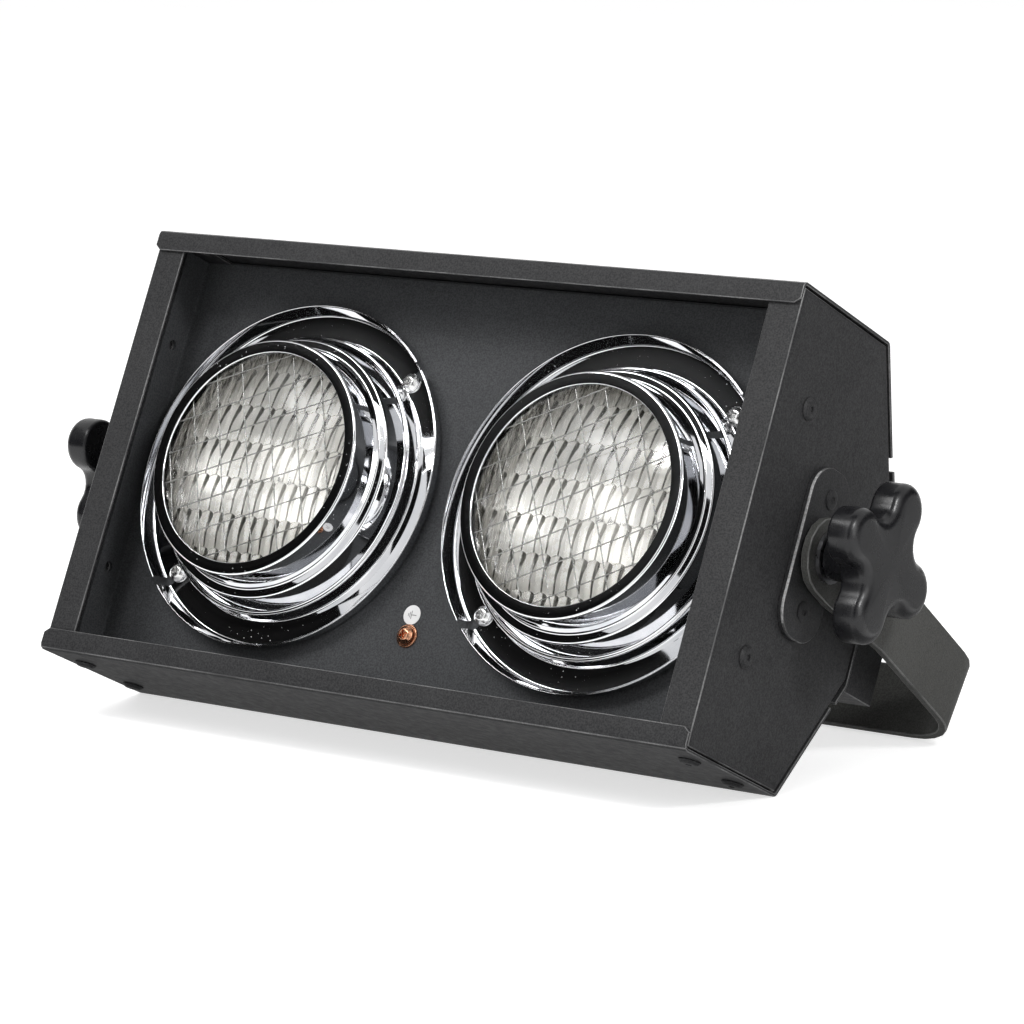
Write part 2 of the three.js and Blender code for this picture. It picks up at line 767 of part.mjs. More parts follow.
// Pivot: plate, bolt, washers
const plateInner = halfWidth + seatGap;
const plateOuter = plateInner + plateThickness;
const frictionInner = plateOuter + seatGap;
const yokeInner = frictionInner + frictionThickness + seatGap;
const yokeOuter = yokeInner + yokeThickness;
const clampInner = yokeOuter + seatGap;
const hubStart = clampInner + clampThickness + seatGap;
const boltEnd = hubStart + boltEngagement;
const boltHole = boltRadius + washerGap;

function pivotPlate() {
  const outline = slotShape(0, 0, plateWidth, plateLength, plateWidth * plateCornerShare, bendSteps + 1);
  const body = alongX(outline, plateInner, plateOuter);
  const square = boltSquare + 2 * shankGap;
  const bolt = alongX(rectangle(0, 0, square, square), plateInner - overrun, plateOuter + overrun);
  const rivets = [1, -1].map((up) => (
    towardsX(flatRivet(plateThickness + nest)).translate(plateOuter, 0, up * plateRivetRise)));
  return join(cut(body, bolt), ...rivets);
}

function pivotBolt() {
  const seat = sideFace - seatGap;
  const shank = towardsX(turned([
    [0, seat - boltHeadHeight],
    [boltHead * boltTopShare, seat - boltHeadHeight],
    [boltHead, seat - boltHeadHeight / 2],
    [boltHead, seat],
    [boltRadius, seat],
    [boltRadius, boltEnd],
    [0, boltEnd],
  ], boltSides));
  const neck = alongX(rectangle(0, 0, boltSquare, boltSquare), seat - sheet, plateOuter - seatGap);
  return join(shank, neck);
}

const washer = (outer, from, thickness) => towardsX(ring(outer, boltHole, from, from + thickness, roundSides));

// Knob: round lobes and hollow waists on a hub, and its threaded insert
function arc(offset, place, radius, from, to, steps) {
  const points = [];
  for (let i = 0; i <= steps; i += 1) {
    const angle = from + ((to - from) * i) / steps;
    points.push([
      offset * Math.cos(place) + radius * Math.cos(angle),
      offset * Math.sin(place) + radius * Math.sin(angle),
    ]);
  }
  return points;
}

function knobOutline() {
  const apart = Math.PI / lobes;
  const touch = lobeRadius + waistRadius;
  const bow = Math.asin((lobeOffset * Math.sin(apart)) / touch); // half of the arc of a waist
  const waistOffset = lobeOffset * Math.cos(apart) + touch * Math.cos(bow);
  const points = [];
  for (let lobe = 0; lobe < lobes; lobe += 1) {
    const turn = THREE.MathUtils.degToRad(lobeTurn) + 2 * apart * lobe;
    const inward = turn + apart + Math.PI;
    const [from, to] = [turn - apart - bow, turn + apart + bow];
    const waist = arc(waistOffset, turn + apart, waistRadius, inward + bow, inward - bow, waistSteps);
    points.push(...arc(lobeOffset, turn, lobeRadius, from, to, lobeSteps), ...waist.slice(1, -1));
  }
  return shapeOf(points);
}

function knob() {
  const start = hubStart + hubLength;
  const head = alongX(knobOutline(), start, start + knobDepth, knobEdge);
  const hub = towardsX(rod(hubRadius, hubStart, start + knobEdge, roundSides));
  const boreEnd = hubStart + insertLength + seatGap;
  const bore = towardsX(rod(insertRadius + seatGap, hubStart - overrun, boreEnd, roundSides));
  return cut(join(head, hub), bore);
}

const knobInsert = () => washer(insertRadius, hubStart, insertLength);

// Yoke in its own plane: arms along +Y from the pivot axis, crossbar at their end
function yoke() {
  const wide = yokeOuter + yokeFlare;
  const half = [
    [-yokeOuter, -yokeWidth / 2],
    [-yokeOuter, flareStart],
    [-wide, flareEnd],
    [-wide, yokeReach],
  ];
  const corners = [...half, ...half.map(([x, s]) => [-x, s]).reverse()];
  const bends = [flareBend, flareBend, yokeCorner];
  const outline = shapeOf(foldedPoints(corners, yokeThickness, [...bends, ...bends.toReversed()], cornerSteps));
  const bar = alongZ(outline, -yokeWidth / 2, yokeWidth / 2);
  const length = yokeReach + yokeWidth;
  const ends = slotShape(length / 2 - yokeWidth / 2, 0, length, yokeWidth, yokeWidth / 2, 2 * bendSteps);
  const rounded = common(bar, alongX(ends, -wide - overrun, wide + overrun));
  const pivots = towardsX(rod(boltHole, -wide - overrun, wide + overrun, roundSides));
  const hang = rod(hangHole, yokeReach - yokeThickness - overrun, yokeReach + overrun, roundSides);
  return cut(rounded, pivots, hang);
}

// Terminal block on the rear cover, a raised pole for each lead
const blockDrop = rearHeight * blockShare;
const blockTop = blockHeight / 2 - blockDrop;
const poleX = (pole) => (pole - (blockPoles - 1) / 2) * polePitch;

function terminalBlock() {
  const from = rearDepth + seatGap;
  const base = alongY(rectangle(0, -blockDrop, blockPoles * polePitch, blockHeight), from, from + blockDepth);
  const poles = [];
  for (let pole = 0; pole < blockPoles; pole += 1) {
    const bore = circle(poleCrown, smallSides, poleX(pole), -blockDrop);
    poles.push(alongY(bore, from, from + blockDepth + poleCrown));
  }
  return join(base, ...poles);
}

// Leads: from a terminal, through the window of the rear cover, down to a pole of the block
function lead(start, pole) {
  const poleDepth = rearDepth + seatGap + blockDepth / 2;
  const x = poleX(pole);
  const path = new THREE.CatmullRomCurve3([
    start,
    start.clone().setY(start.y + leadLoop),
    new THREE.Vector3(x, rearDepth - leadLoop, windowRise),
    new THREE.Vector3(x, rearDepth, windowRise),
    new THREE.Vector3(x, poleDepth, windowRise - leadLoop),
    new THREE.Vector3(x, poleDepth, blockTop + seatGap),
  ]);
  const section = circle(leadRadius, wireSides + 1);
  return new THREE.ExtrudeGeometry(section, { extrudePath: path, steps: leadSteps, bevelEnabled: false });
}

function lampLead(side) {
  const foot = lampBack + terminalHeight + terminalScrewHeight + seatGap;
  const inner = side * (lampX - terminalSpacing / 2);
  return lead(new THREE.Vector3(inner, foot, lampRise), (blockPoles - 1) / 2 + side * leadPole);
}

// Earth point: screw from the front with its washer, lead from behind
const earthLength = nest + screwShank;

function earthLead() {
  const depth = panelDepth + earthLength + seatGap;
  return lead(new THREE.Vector3(earthSide, depth, earthHeight), (blockPoles - 1) / 2);
}

// Cable gland on the back of the box: body, cap and locknut
function glandBody() {
  const seat = boxRear + seatGap;
  const flange = rod(glandHex, seat, seat + glandFlange, wireSides + 1);
  const start = boxRear - sheet - glandStub;
  const end = seat + glandFlange + glandStub;
  const sleeve = rod(glandThread, start, end, roundSides);
  const bore = rod(glandBore, start - overrun, end + overrun, smallSides);
  return cut(join(flange, sleeve), bore).translate(glandSide, 0, 0);
}

function glandCap() {
  const from = boxRear + glandFlange + 2 * seatGap;
  const nose = from + glandCapLength;
  return turned([
    [glandThread + threadGap, from],
    [glandHex - seatGap, from],
    [glandHex - seatGap, nose - glandStub / 2],
    [glandCapNose, nose],
    [glandBore, nose],
    [glandBore, from + glandStub + seatGap],
    [glandThread + threadGap, from + glandStub + seatGap],
  ], roundSides).translate(glandSide, 0, 0);
}

function glandLocknut() {
  const to = boxRear - sheet - seatGap;
  const nut = rod(locknutHex, to - locknutHeight, to, wireSides + 1);
  const thread = rod(glandThread + threadGap, to - locknutHeight - overrun, to + overrun, roundSides);
  return cut(nut, thread).translate(glandSide, 0, 0);
}

function add(group, name, geometry, finish) {
  const mesh = new THREE.Mesh(geometry, new THREE.MeshStandardMaterial(finishes[finish]));
  mesh.name = name;
  group.add(mesh);
}

// The same piece at the right and, mirrored, at the left
function addPair(groups, name, geometry, finish) {
  add(groups.right, `${name}_right`, geometry, finish);
  add(groups.left, `${name}_left`, mirrored(geometry), finish);
}

function addHousing(head) {
  const both = { left: head, right: head };
  add(head, 'top_shell', shell(1, coverEdge + topSlopeGap), 'paint');
  add(head, 'bottom_shell', shell(-1, coverEdge + bottomSlopeGap), 'paint');
  addPair(both, 'side_plate', sidePlate(), 'paint');
  add(head, 'lamp_panel', lampPanel(), 'panelPaint');
  add(head, 'rear_cover', rearCover(), 'paint');
  add(head, 'rear_box', rearBox(), 'paint');
}

function addRivets(head) {
  const both = { left: head, right: head };
  const grip = sheet + nest;
  for (const [level, up] of [['upper', 1], ['lower', -1]]) {
    const rivet = towardsX(blindRivet(grip)).translate(halfWidth, sideRivetDepth, up * sideRivetHeight);
    addPair(both, `side_rivet_${level}`, rivet, 'paint');
  }
  for (const [place, y] of [['front', shellRivetFront], ['rear', shellRivetRear]]) {
    const top = towardsTop(blindRivet(grip)).translate(rivetX, y, halfHeight);
    const bottom = towardsBelow(blindRivet(grip)).translate(rivetX, y, -halfHeight);
    addPair(both, `top_rivet_${place}`, top, 'paint');
    addPair(both, `bottom_rivet_${place}`, bottom, 'paint');
  }
}

function addLamp(head, name, side, guardPlan) {
  const place = (geometry) => geometry.translate(side * lampX, 0, lampRise);
  add(head, `bezel_${name}`, place(bezel()), 'chrome');
  add(head, `guard_${name}`, place(guard(guardPlan)), 'wire');
  add(head, `lens_${name}`, place(lens()), 'lens');
  add(head, `reflector_${name}`, place(reflector()), 'mirror');
  add(head, `filament_${name}`, place(filament()), 'tungsten');
  add(head, `retaining_ring_${name}`, place(retainingRing()), 'steel');
  const seat = panelDepth - seatGap - bezelSheet;
  for (const [dx, z] of screwPlaces()) {
    const screw = towardsFront(panScrew(screwLength)).translate(side * lampX + dx, seat, z);
    add(head, `bezel_screw_${name}_${dx > 0 ? 'upper' : 'lower'}`, screw, 'chrome');
  }
  add(head, `lamp_lead_${name}`, lampLead(side), 'lead');
}

function addWiring(head) {
  const washerFront = panelDepth - seatGap - earthWasherThickness;
  const screw = towardsFront(panScrew(earthLength + earthWasherThickness));
  const disc = ring(earthWasher, screwShank + shankGap, washerFront, panelDepth - seatGap, boltSides);
  add(head, 'earth_screw', screw.translate(earthSide, washerFront, earthHeight), 'copper');
  add(head, 'earth_washer', disc.translate(earthSide, 0, earthHeight), 'copper');
  add(head, 'earth_lead', earthLead(), 'earthLead');
  add(head, 'terminal_block', terminalBlock(), 'ceramic');
  add(head, 'cable_gland', glandBody(), 'fibre');
  add(head, 'gland_cap', glandCap(), 'fibre');
  add(head, 'gland_locknut', glandLocknut(), 'fibre');
}

function addPivots(head, knobs) {
  const both = { left: head, right: head };
  addPair(both, 'pivot_plate', pivotPlate(), 'paint');
  addPair(both, 'pivot_bolt', pivotBolt(), 'steel');
  addPair(both, 'friction_washer', washer(frictionWasher, frictionInner, frictionThickness), 'fibre');
  addPair(both, 'clamp_washer', washer(clampWasher, clampInner, clampThickness), 'steel');
  addPair(knobs, 'knob', knob(), 'knob');
  addPair(knobs, 'knob_insert', knobInsert(), 'brass');
}

// How high the pivot axis is when the head rests on the bend at its lower rear edge
function pivotHeight() {
  const depth = housingDepth - bendRadius * Math.tan(slope) - pivotDepth;
  const height = pivotRise + halfHeight - bendRadius;
  return depth * Math.sin(tilt) + height * Math.cos(tilt) + bendRadius;
}

// How far the arms slope down to put the crossbar's lower edge on the same floor
function yokeDrop() {
  const half = yokeWidth / 2;
  return Math.asin(pivotHeight() / Math.hypot(yokeReach, half)) - Math.atan(half / yokeReach);
}

function blinder() {
  const fixture = new THREE.Group();
  const head = new THREE.Group(); // about the pivot axis
  const housing = new THREE.Group(); // about the middle of the front plane
  const knobs = { left: new THREE.Group(), right: new THREE.Group() };
  head.rotation.x = -tilt;
  housing.position.set(0, -pivotDepth, -pivotRise);
  head.add(housing, knobs.left, knobs.right);
  fixture.add(head);
  addHousing(housing);
  addRivets(housing);
  addLamp(housing, 'left', -1, guardLeft);
  addLamp(housing, 'right', 1, guardRight);
  addWiring(housing);
  addPivots(head, knobs);
  add(fixture, 'yoke', yoke(), 'paint');
  fixture.getObjectByName('yoke').rotation.x = -yokeDrop();
  return fixture;
}

// Origin on the floor, under the middle of the whole light
function stand(fixture) {
  const box = new THREE.Box3().setFromObject(fixture, true);
  const middle = box.getCenter(new THREE.Vector3());
  fixture.position.set(-middle.x, -middle.y, -box.min.z);
  const light = new THREE.Group();
  light.add(fixture);
  return light;
}

export default stand(blinder());
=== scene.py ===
import json
import math
import random

import bmesh
import bpy
from mathutils import Matrix, Vector


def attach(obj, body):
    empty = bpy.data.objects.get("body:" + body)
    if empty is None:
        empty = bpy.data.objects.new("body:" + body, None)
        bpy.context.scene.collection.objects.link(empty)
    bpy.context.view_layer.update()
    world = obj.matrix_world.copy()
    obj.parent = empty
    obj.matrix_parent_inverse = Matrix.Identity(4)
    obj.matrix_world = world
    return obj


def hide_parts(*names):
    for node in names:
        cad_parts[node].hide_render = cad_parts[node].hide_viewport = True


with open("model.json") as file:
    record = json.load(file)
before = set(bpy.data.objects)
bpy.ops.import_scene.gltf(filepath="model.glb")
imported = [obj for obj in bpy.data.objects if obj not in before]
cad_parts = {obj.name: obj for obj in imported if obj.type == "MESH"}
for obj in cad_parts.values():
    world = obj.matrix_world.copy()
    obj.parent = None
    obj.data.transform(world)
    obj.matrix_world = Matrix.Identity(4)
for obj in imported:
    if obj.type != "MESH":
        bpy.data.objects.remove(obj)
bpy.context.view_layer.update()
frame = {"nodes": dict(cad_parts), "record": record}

# Lengths are millimetres in the frame of the head: x right, y back from its front plane, z up its face.
# The camera, the lights and the stage are in metres in the frame of the part.
MM = 0.001
SAME_POINT = 1e-7
HEAD_ORIGIN = (0, -69.048332, 131.163002)
HEAD_TILT = -25.7
PIVOT = (0, 59.7, -0.6)
HALF_WIDTH = 185
HALF_HEIGHT = 107
PANEL_DEPTH = 37
SEAT_GAP = 0.3
OVERRUN = 2

# Camera: fitted to the edges of the photograph
CAMERA_PLACE = (1.1498, -1.57001, 0.4383)
CAMERA_LOOK = (-0.57887, 0.79756, -0.16976)
CAMERA_LENS = 147.28
CAMERA_SENSOR = 36
CAMERA_NEAR = 0.05
CAMERA_FAR = 50

# Lamps
LAMP_X = 91.1
LAMP_Z = -0.8
LAMP_SIDES = {"left": -1, "right": 1}

# Bezel, outside face from the rim to the opening: radius, depth, radius of the fold
BEZEL_FOLDS = [
    (84.4, 28.2, 0),
    (82.5, 35.8, 1.6),
    (70.4, 35.8, 1.2),
    (69.7, 28.8, 0.9),
    (68, 28.8, 1.4),
    (64.4, 18.2, 1.6),
    (59.8, 18.2, 1.4),
    (58.2, 1.5, 1.5),
    (52.2, 1.5, 0.5),
    (51.9, 2.2, 0),
]
BEZEL_SHEET = 0.9
BEZEL_SIDES = 180
BEZEL_CREASE = 50
SLOT_WIDTH = 5.4
SLOT_CIRCLE = 75
SLOT_REACH = 90
SLOT_DEPTHS = (26, 40)
SLOT_ANGLES = {"upper": 45, "lower": 225}

# Guard
WIRE = 0.32
WIRE_BEND = 0.35
WIRE_STEPS = 24
WIRE_CREASE = 60
GUARD_RADIUS = 55.5
GUARD_PITCH = 14.65
GUARD_ROWS = 2.9
WIRE_STEP = 0.8
WIRES_EACH_SIDE = 3
GUARD_LAY = {"left": (22, 2, -4.9), "right": (26.5, 0.5, -4.5)}

# Nodes whose edges are rounded so that they catch the light, and how wide
EDGES = {
    "top_shell": 0.4,
    "bottom_shell": 0.4,
    "side_plate_left": 0.4,
    "side_plate_right": 0.4,
    "rear_cover": 0.4,
    "rear_box": 0.4,
    "yoke": 0.6,
    "gland_cap": 0.5,
    "cable_gland": 0.4,
    "terminal_block": 0.4,
}
BODIES = {"yoke": ["yoke"], "head": [name for name in EDGES if name != "yoke"]}
WELD_REACH = 0.000002
FLAT_ANGLE = 0.5
EDGE_ANGLE = 40
# Painted highlight: lighter looks for the rounded edges of these coats
EDGE_HIGHLIGHTS = {"housing_paint": "housing_edge_highlight", "yoke_paint": "yoke_edge_highlight"}
PAINT_SHEEN = 0.12
PANEL_SHEEN = 0.06
POLISHED_BUMP = 0.00001
SMOOTH_BUMP = 0.00002
FINE_BUMP = 0.00003
MOULDED_BUMP = 0.00004
COAT_BUMP = 0.00005
COARSE_BUMP = 0.00008
WEAVE_BUMP = 0.0001

# Stage
FLOOR_REACH = 30
FLOOR_THICKNESS = 0.02
FLOOR_GLOW = 0.62
WORLD_STRENGTH = 0.44
LIGHT_AIM = (0, 0, 0.1)
FLAG_DISTANCE = 2
FLAG_AIM = (0, -0.07, 0.13)
FLAG_THICKNESS = 0.005

# Area lights: place, width and height, power, whether reflections show them
LIGHTS = {
    "key": ((-1.2, -1.6, 2.2), (1.4, 1.4), 43, True),
    "front": ((0.3, -2.6, 0.7), (1.4, 1.4), 15, False),
    "fill": ((2.2, -0.6, 1), (1.2, 1.6), 13, True),
    "kick": ((1.64, -0.61, 1.44), (0.3, 0.3), 14, True),
    "rim": ((0.08, -1.25, 1.92), (0.3, 0.3), 9, True),
}

# Dark cards that only reflections show: azimuth and elevation, half of the width and height they fill
FLAGS = {
    "flag_left": (-145, 10, 31, 38),
    "flag_front": (-64, 18, 12, 42),
    "flag_above": (-70, 84, 34, 10),
    "flag_low": (-95, -12, 26, 9),
    "flag_back": (50, 12, 34, 12),
}

# Dark sheets on the floor: where they show, two opposite corners, and how much they glow
FLOOR_CARDS = {
    "card_front": ("glass", (-0.2, -1.3), (1.4, -0.17), 0.4),
    # Painted shadow: a dark sheet under the object stands in for the floor's shadow in reflections
    "floor_shadow_card": ("reflections", (-0.3, -0.13), (0.3, 0.2), 0.42),
    "card_back": ("reflections", (0.1, 0.2), (2.4, 2), 0.6),
}
CARD_THICKNESS = 0.001

# Pivot plates: x from the head's middle
PLATE_INNER = 185.3
PLATE_OUTER = 188.3
PLATE_WIDTH = 34
PLATE_LENGTH = 79
PLATE_CORNER = 14.5
PLATE_EDGE = 0.5
# Width of the band round a plate's outer edge, which takes the painted highlight
PLATE_HIGHLIGHT_BAND = 1.3
PLATE_RIVET_RISE = 26
PLATE_RIVET_RADIUS = 5
PLATE_RIVET_DOME = 0.9
PLATE_HOLE = 8.7
PLATE_CORNER_STEPS = 12
PLATE_EDGE_STEPS = 4
PLATE_CREASE = 50
FACES_FORWARD = 0.7
FACES_OUT = 0.95

# Knobs: round lobes on a hub, x from the head's middle
LOBES = 4
LOBE_RADIUS = 12.8
LOBE_OFFSET = 25.7
WAIST_RADIUS = 9
LOBE_TURN = -10.3
LOBE_STEPS = 16
WAIST_STEPS = 8
HUB_BACK = 197.1
KNOB_BACK = 213
KNOB_FRONT = 227.8
KNOB_BACK_EDGE = 1.8
KNOB_EDGE = 6
KNOB_ROUND = 5
KNOB_CROWN = 0.3
KNOB_BACK_STEPS = 6
KNOB_EDGE_STEPS = 12
KNOB_CROWN_STEPS = 8
HUB_SIDES = 64
KNOB_CREASE = 50

# Hub, from the bore's back end out and forward: radius, rise from its back, radius of the fold
HUB_FOLDS = [
    (6.9, 3, 0),
    (6.9, 0, 0.3),
    (10.2, 0, 0.8),
    (10.4, 10, 0),
    (10.9, 13.5, 3),
    (15, 16.4, 0),
    (6.9, 16.4, 0),
]

# Lens
LENS_FRONT = 5
LENS_RADIUS = 57
LENS_EDGE = 3.2
LENS_CHAMFER = 1.2
LENS_RINGS = 84
LENS_SPOKES = 300
LENS_CREASE = 60
RING_SPREAD = 0.75
PATTERN_INSET = 1
PATTERN_FADE = 1.5
FLUTE_PITCH = 6.6
FLUTE_ROW = 17.6
FLUTE_TOP = 42.4
FLUTE_SCALLOP = 1.3
FLUTE_BOW = 0.0024
FLUTE_DEPTH = 0.4
ROW_DEPTH = 0.35
FACE_PLANE = "face_plane"
# Painted on the lens's back: a bright middle where the painted shade lines fade, and a crescent of painted
# shade
PAINTED_LIGHT_MIDDLE = (20, -4)
PAINTED_LIGHT_REACH = (6, 36)
SHADE_CRESCENT_MIDDLE = (14, -6)
SHADE_CRESCENT_REACH = (44, 64)
GLASS_STREAKS = (0.9, 0.9, 0.12)

# Reflector: its bowl, and the radii at which its outer face is set out
RIM_FRONT = 8.5
RIM_DEPTH = 4
BOWL_RADIUS = 52.5
BOWL_DEPTH = 41
BOWL_WALL = 3
BOWL_STEPS = 24
BOWL_SIDES = 96
BOWL_OUTER = (52.6, 48, 42, 35, 27, 19, 13)

# Terminals: x of each, and radius and rise from the bowl's seat
TERMINAL_PLACES = (8, -8)
TERMINAL_SIDES = 24
TERMINAL_OUTLINE = [
    (0, -1),
    (4, -1),
    (4, 5.2),
    (3.6, 5.5),
    (2.8, 5.5),
    (2.8, 7.4),
    (2.3, 7.9),
    (0, 7.9),
]

# Blind rivets: a domed head with the end of its broken mandrel in the bore
RIVET_RADIUS = 5.4
RIVET_DOME = 2
RIVET_BORE = 1.3
RIVET_LIFT = 0.05
RIVET_EDGE = 0.5
RIVET_RIM = 0.35
RIVET_SHOULDER = (0.72, 0.86)
RIVET_MOUTH = 0.3
RIVET_FLOOR = 0.9
MANDREL_RADIUS = 0.9
MANDREL_RISE = 0.6
MANDREL_TIP = 0.8
RIVET_SIDES = 36
SIDE_RIVET = (28.4, 57.1)
SHELL_RIVET_X = 174
SHELL_RIVET_DEPTHS = {"front": 23, "rear": 61}

# Pan heads: lengths, or shares of a head's radius and dome, and the cross cut into it
HEAD_LIFT = 0.02
HEAD_EDGE = 0.3
HEAD_RIM = 0.4
HEAD_SHOULDER = (0.2, 0.45)
HEAD_TOP = 0.55
HEAD_CROWN = 0.05
HEAD_SIDES = 40
HEAD_CREASE = 40
CROSS_TURN = 0.4
CROSS_REACH = 0.52
CROSS_FLOOR = 0.35
CROSS_HALF = 0.5
BEZEL_SCREW = (4.6, 3)
BEZEL_SCREW_GAP = 0.1

# Earth point: place on the panel, screw and washer
EARTH_PLACE = (-2, -68)
EARTH_SCREW = (4.4, 2.6)
EARTH_SCREW_SEAT = 1.2
EARTH_WASHER_SEAT = 0.1
EARTH_WASHER_FOLDS = [
    (2.4, 0.3, 0),
    (2.4, 0.9, 0.2),
    (5.5, 0.75, 0.3),
    (5.7, 0.1, 0.2),
    (5.2, 0.02, 0),
    (2.4, 0.3, 0),
]

# Label above it: place, round disc, and the sign for earth
LABEL_PLACE = (-2.6, -57.8)
LABEL_SEAT = 0.02
LABEL_BACK = 0.01
LABEL_FOLDS = [(4.7, 0.01, 0), (4.7, 0.12, 0.05), (0, 0.13, 0)]
LABEL_SIDES = 48
SIGN_DEPTHS = (0.1, 0.2)
SIGN_STEM = (0.18, -0.2, 2.6)
SIGN_BARS = (2, 1.35, 0.7)
SIGN_PITCH = 0.85
SIGN_BAR = (-0.38, -0.05)


def head_matrix():
    turn = Matrix.Rotation(math.radians(HEAD_TILT), 4, "X")
    return Matrix.Translation(Vector(HEAD_ORIGIN) * MM) @ turn @ Matrix.Scale(MM, 4)


HEAD = head_matrix()


# Meshes
def piece(name, verts, faces, place=HEAD, crease=35):
    """An object whose vertices are carried into the part's frame, smooth but for its creases."""
    mesh = bpy.data.meshes.new(name)
    mesh.from_pydata([place @ Vector(v) for v in verts], [], faces)
    tidy(mesh)
    smooth(mesh, crease)
    obj = bpy.data.objects.new(name, mesh)
    bpy.context.scene.collection.objects.link(obj)
    return obj


def tidy(mesh):
    work = bmesh.new()
    work.from_mesh(mesh)
    bmesh.ops.remove_doubles(work, verts=work.verts, dist=SAME_POINT)
    bmesh.ops.recalc_face_normals(work, faces=work.faces)
    work.to_mesh(mesh)
    work.free()


def smooth(mesh, crease):
    mesh.polygons.foreach_set("use_smooth", [True] * len(mesh.polygons))
    mesh.set_sharp_from_angle(angle=math.radians(crease))


def dress(obj, body, look, slot, *nodes):
    obj.data.materials.append(look)
    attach(obj, body)
    if nodes:
        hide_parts(*nodes)
    return obj


def joined(parts):
    """(verts, faces) of several such pairs."""
    verts, faces = [], []
    for some, sides in parts:
        start = len(verts)
        verts += some
        faces += [[start + i for i in face] for face in sides]
    return verts, faces


def carried(part, matrix):
    verts, faces = part
    return [tuple(matrix @ Vector(v)) for v in verts], faces


def rounded(folds, steps=5):
    """Points of a polyline whose corners (a, b, radius) are rounded."""
    points = [Vector(f[:2]) for f in folds]
    out = [points[0]]
    for i in range(1, len(points) - 1):
        before = (points[i] - points[i - 1]).normalized()
        after = (points[i + 1] - points[i]).normalized()
        turn = before.angle(after)
        reach = folds[i][2] * math.tan(turn / 2)
        start, end = points[i] - before * reach, points[i] + after * reach
        for k in range(steps + 1):
            t = k / steps
            out.append(start * (1 - t) ** 2 + points[i] * 2 * t * (1 - t) + end * t * t)
    return out + [points[-1]]


def thickened(points, thickness):
    """Closed outline of a sheet, its other face to the right of the walk, with rounded ends."""
    normals = []
    for i in range(len(points)):
        before = points[max(i - 1, 0)]
        after = points[min(i + 1, len(points) - 1)]
        along = (after - before).normalized()
        normals.append(Vector((along.y, -along.x)))
    back = [p + n * thickness for p, n in zip(points, normals)]
    return points + round_end(points[-1], back[-1]) + back[::-1] + round_end(back[0], points[0])


def round_end(start, end, steps=4):
    middle = (start + end) / 2
    spoke = start - middle
    turned = []
    for k in range(1, steps):
        angle = math.pi * k / steps
        turned.append(middle + spoke * math.cos(angle) + Vector((-spoke.y, spoke.x)) * math.sin(angle))
    return turned


def lathe(profile, sides, closed=False):
    """Revolves [radius, y] points about the Y axis; a point on the axis makes one vertex."""
    verts, rings, faces = [], [], []
    for radius, y in profile:
        if abs(radius) < 1e-6:
            rings.append([len(verts)] * sides)
            verts.append((0, y, 0))
            continue
        rings.append(list(range(len(verts), len(verts) + sides)))
        for i in range(sides):
            angle = 2 * math.pi * i / sides
            verts.append((radius * math.cos(angle), y, radius * math.sin(angle)))
    pairs = list(zip(rings, rings[1:]))
    if closed:
        pairs.append((rings[-1], rings[0]))
    for one, two in pairs:
        for i in range(sides):
            j = (i + 1) % sides
            face = list(dict.fromkeys([one[i], one[j], two[j], two[i]]))
            if len(face) > 2:
                faces.append(face)
    return verts, faces


def tube(points, radius, sides=8):
    """A round bar along points, closed at both ends."""
    verts, faces = [], []
    points = [Vector(p) for p in points]
    for i, point in enumerate(points):
        along = (points[min(i + 1, len(points) - 1)] - points[max(i - 1, 0)]).normalized()
        side = along.cross(Vector((0, 1, 0)))
        side = side.normalized() if side.length > 1e-3 else Vector((1, 0, 0))
        up = along.cross(side)
        for k in range(sides):
            angle = 2 * math.pi * k / sides
            verts.append(tuple(point + radius * (side * math.cos(angle) + up * math.sin(angle))))
    for i in range(len(points) - 1):
        for k in range(sides):
            j = (k + 1) % sides
            faces.append([i * sides + k, i * sides + j, (i + 1) * sides + j, (i + 1) * sides + k])
    faces.append(list(range(sides))[::-1])
    faces.append([(len(points) - 1) * sides + k for k in range(sides)])
    return verts, faces


def towards(axis, point):
    """Carries a piece made about +Y, its seat at 0, to a point with +Y turned to an axis of the head."""
    target = Vector(axis)
    turn = Vector((0, 1, 0)).rotation_difference(target).to_matrix().to_4x4()
    return Matrix.Translation(point) @ turn


def cut(obj, tool):
    """Takes a closed (verts, faces) tool out of a piece."""
    cutter = piece("cutter", *tool)
    change = obj.modifiers.new("cut", "BOOLEAN")
    change.operation = "DIFFERENCE"
    change.solver = "EXACT"
    change.object = cutter
    bake(obj)
    bpy.data.objects.remove(cutter)


def bake(obj):
    bpy.context.view_layer.update()
    shape = obj.evaluated_get(bpy.context.evaluated_depsgraph_get())
    mesh = bpy.data.meshes.new_from_object(shape)
    obj.modifiers.clear()
    obj.data = mesh


def box_part(low, high):
    verts = [(x, y, z) for x in (low[0], high[0]) for y in (low[1], high[1]) for z in (low[2], high[2])]
    faces = [[0, 1, 3, 2], [4, 6, 7, 5], [0, 4, 5, 1], [2, 3, 7, 6], [0, 2, 6, 4], [1, 5, 7, 3]]
    return verts, faces


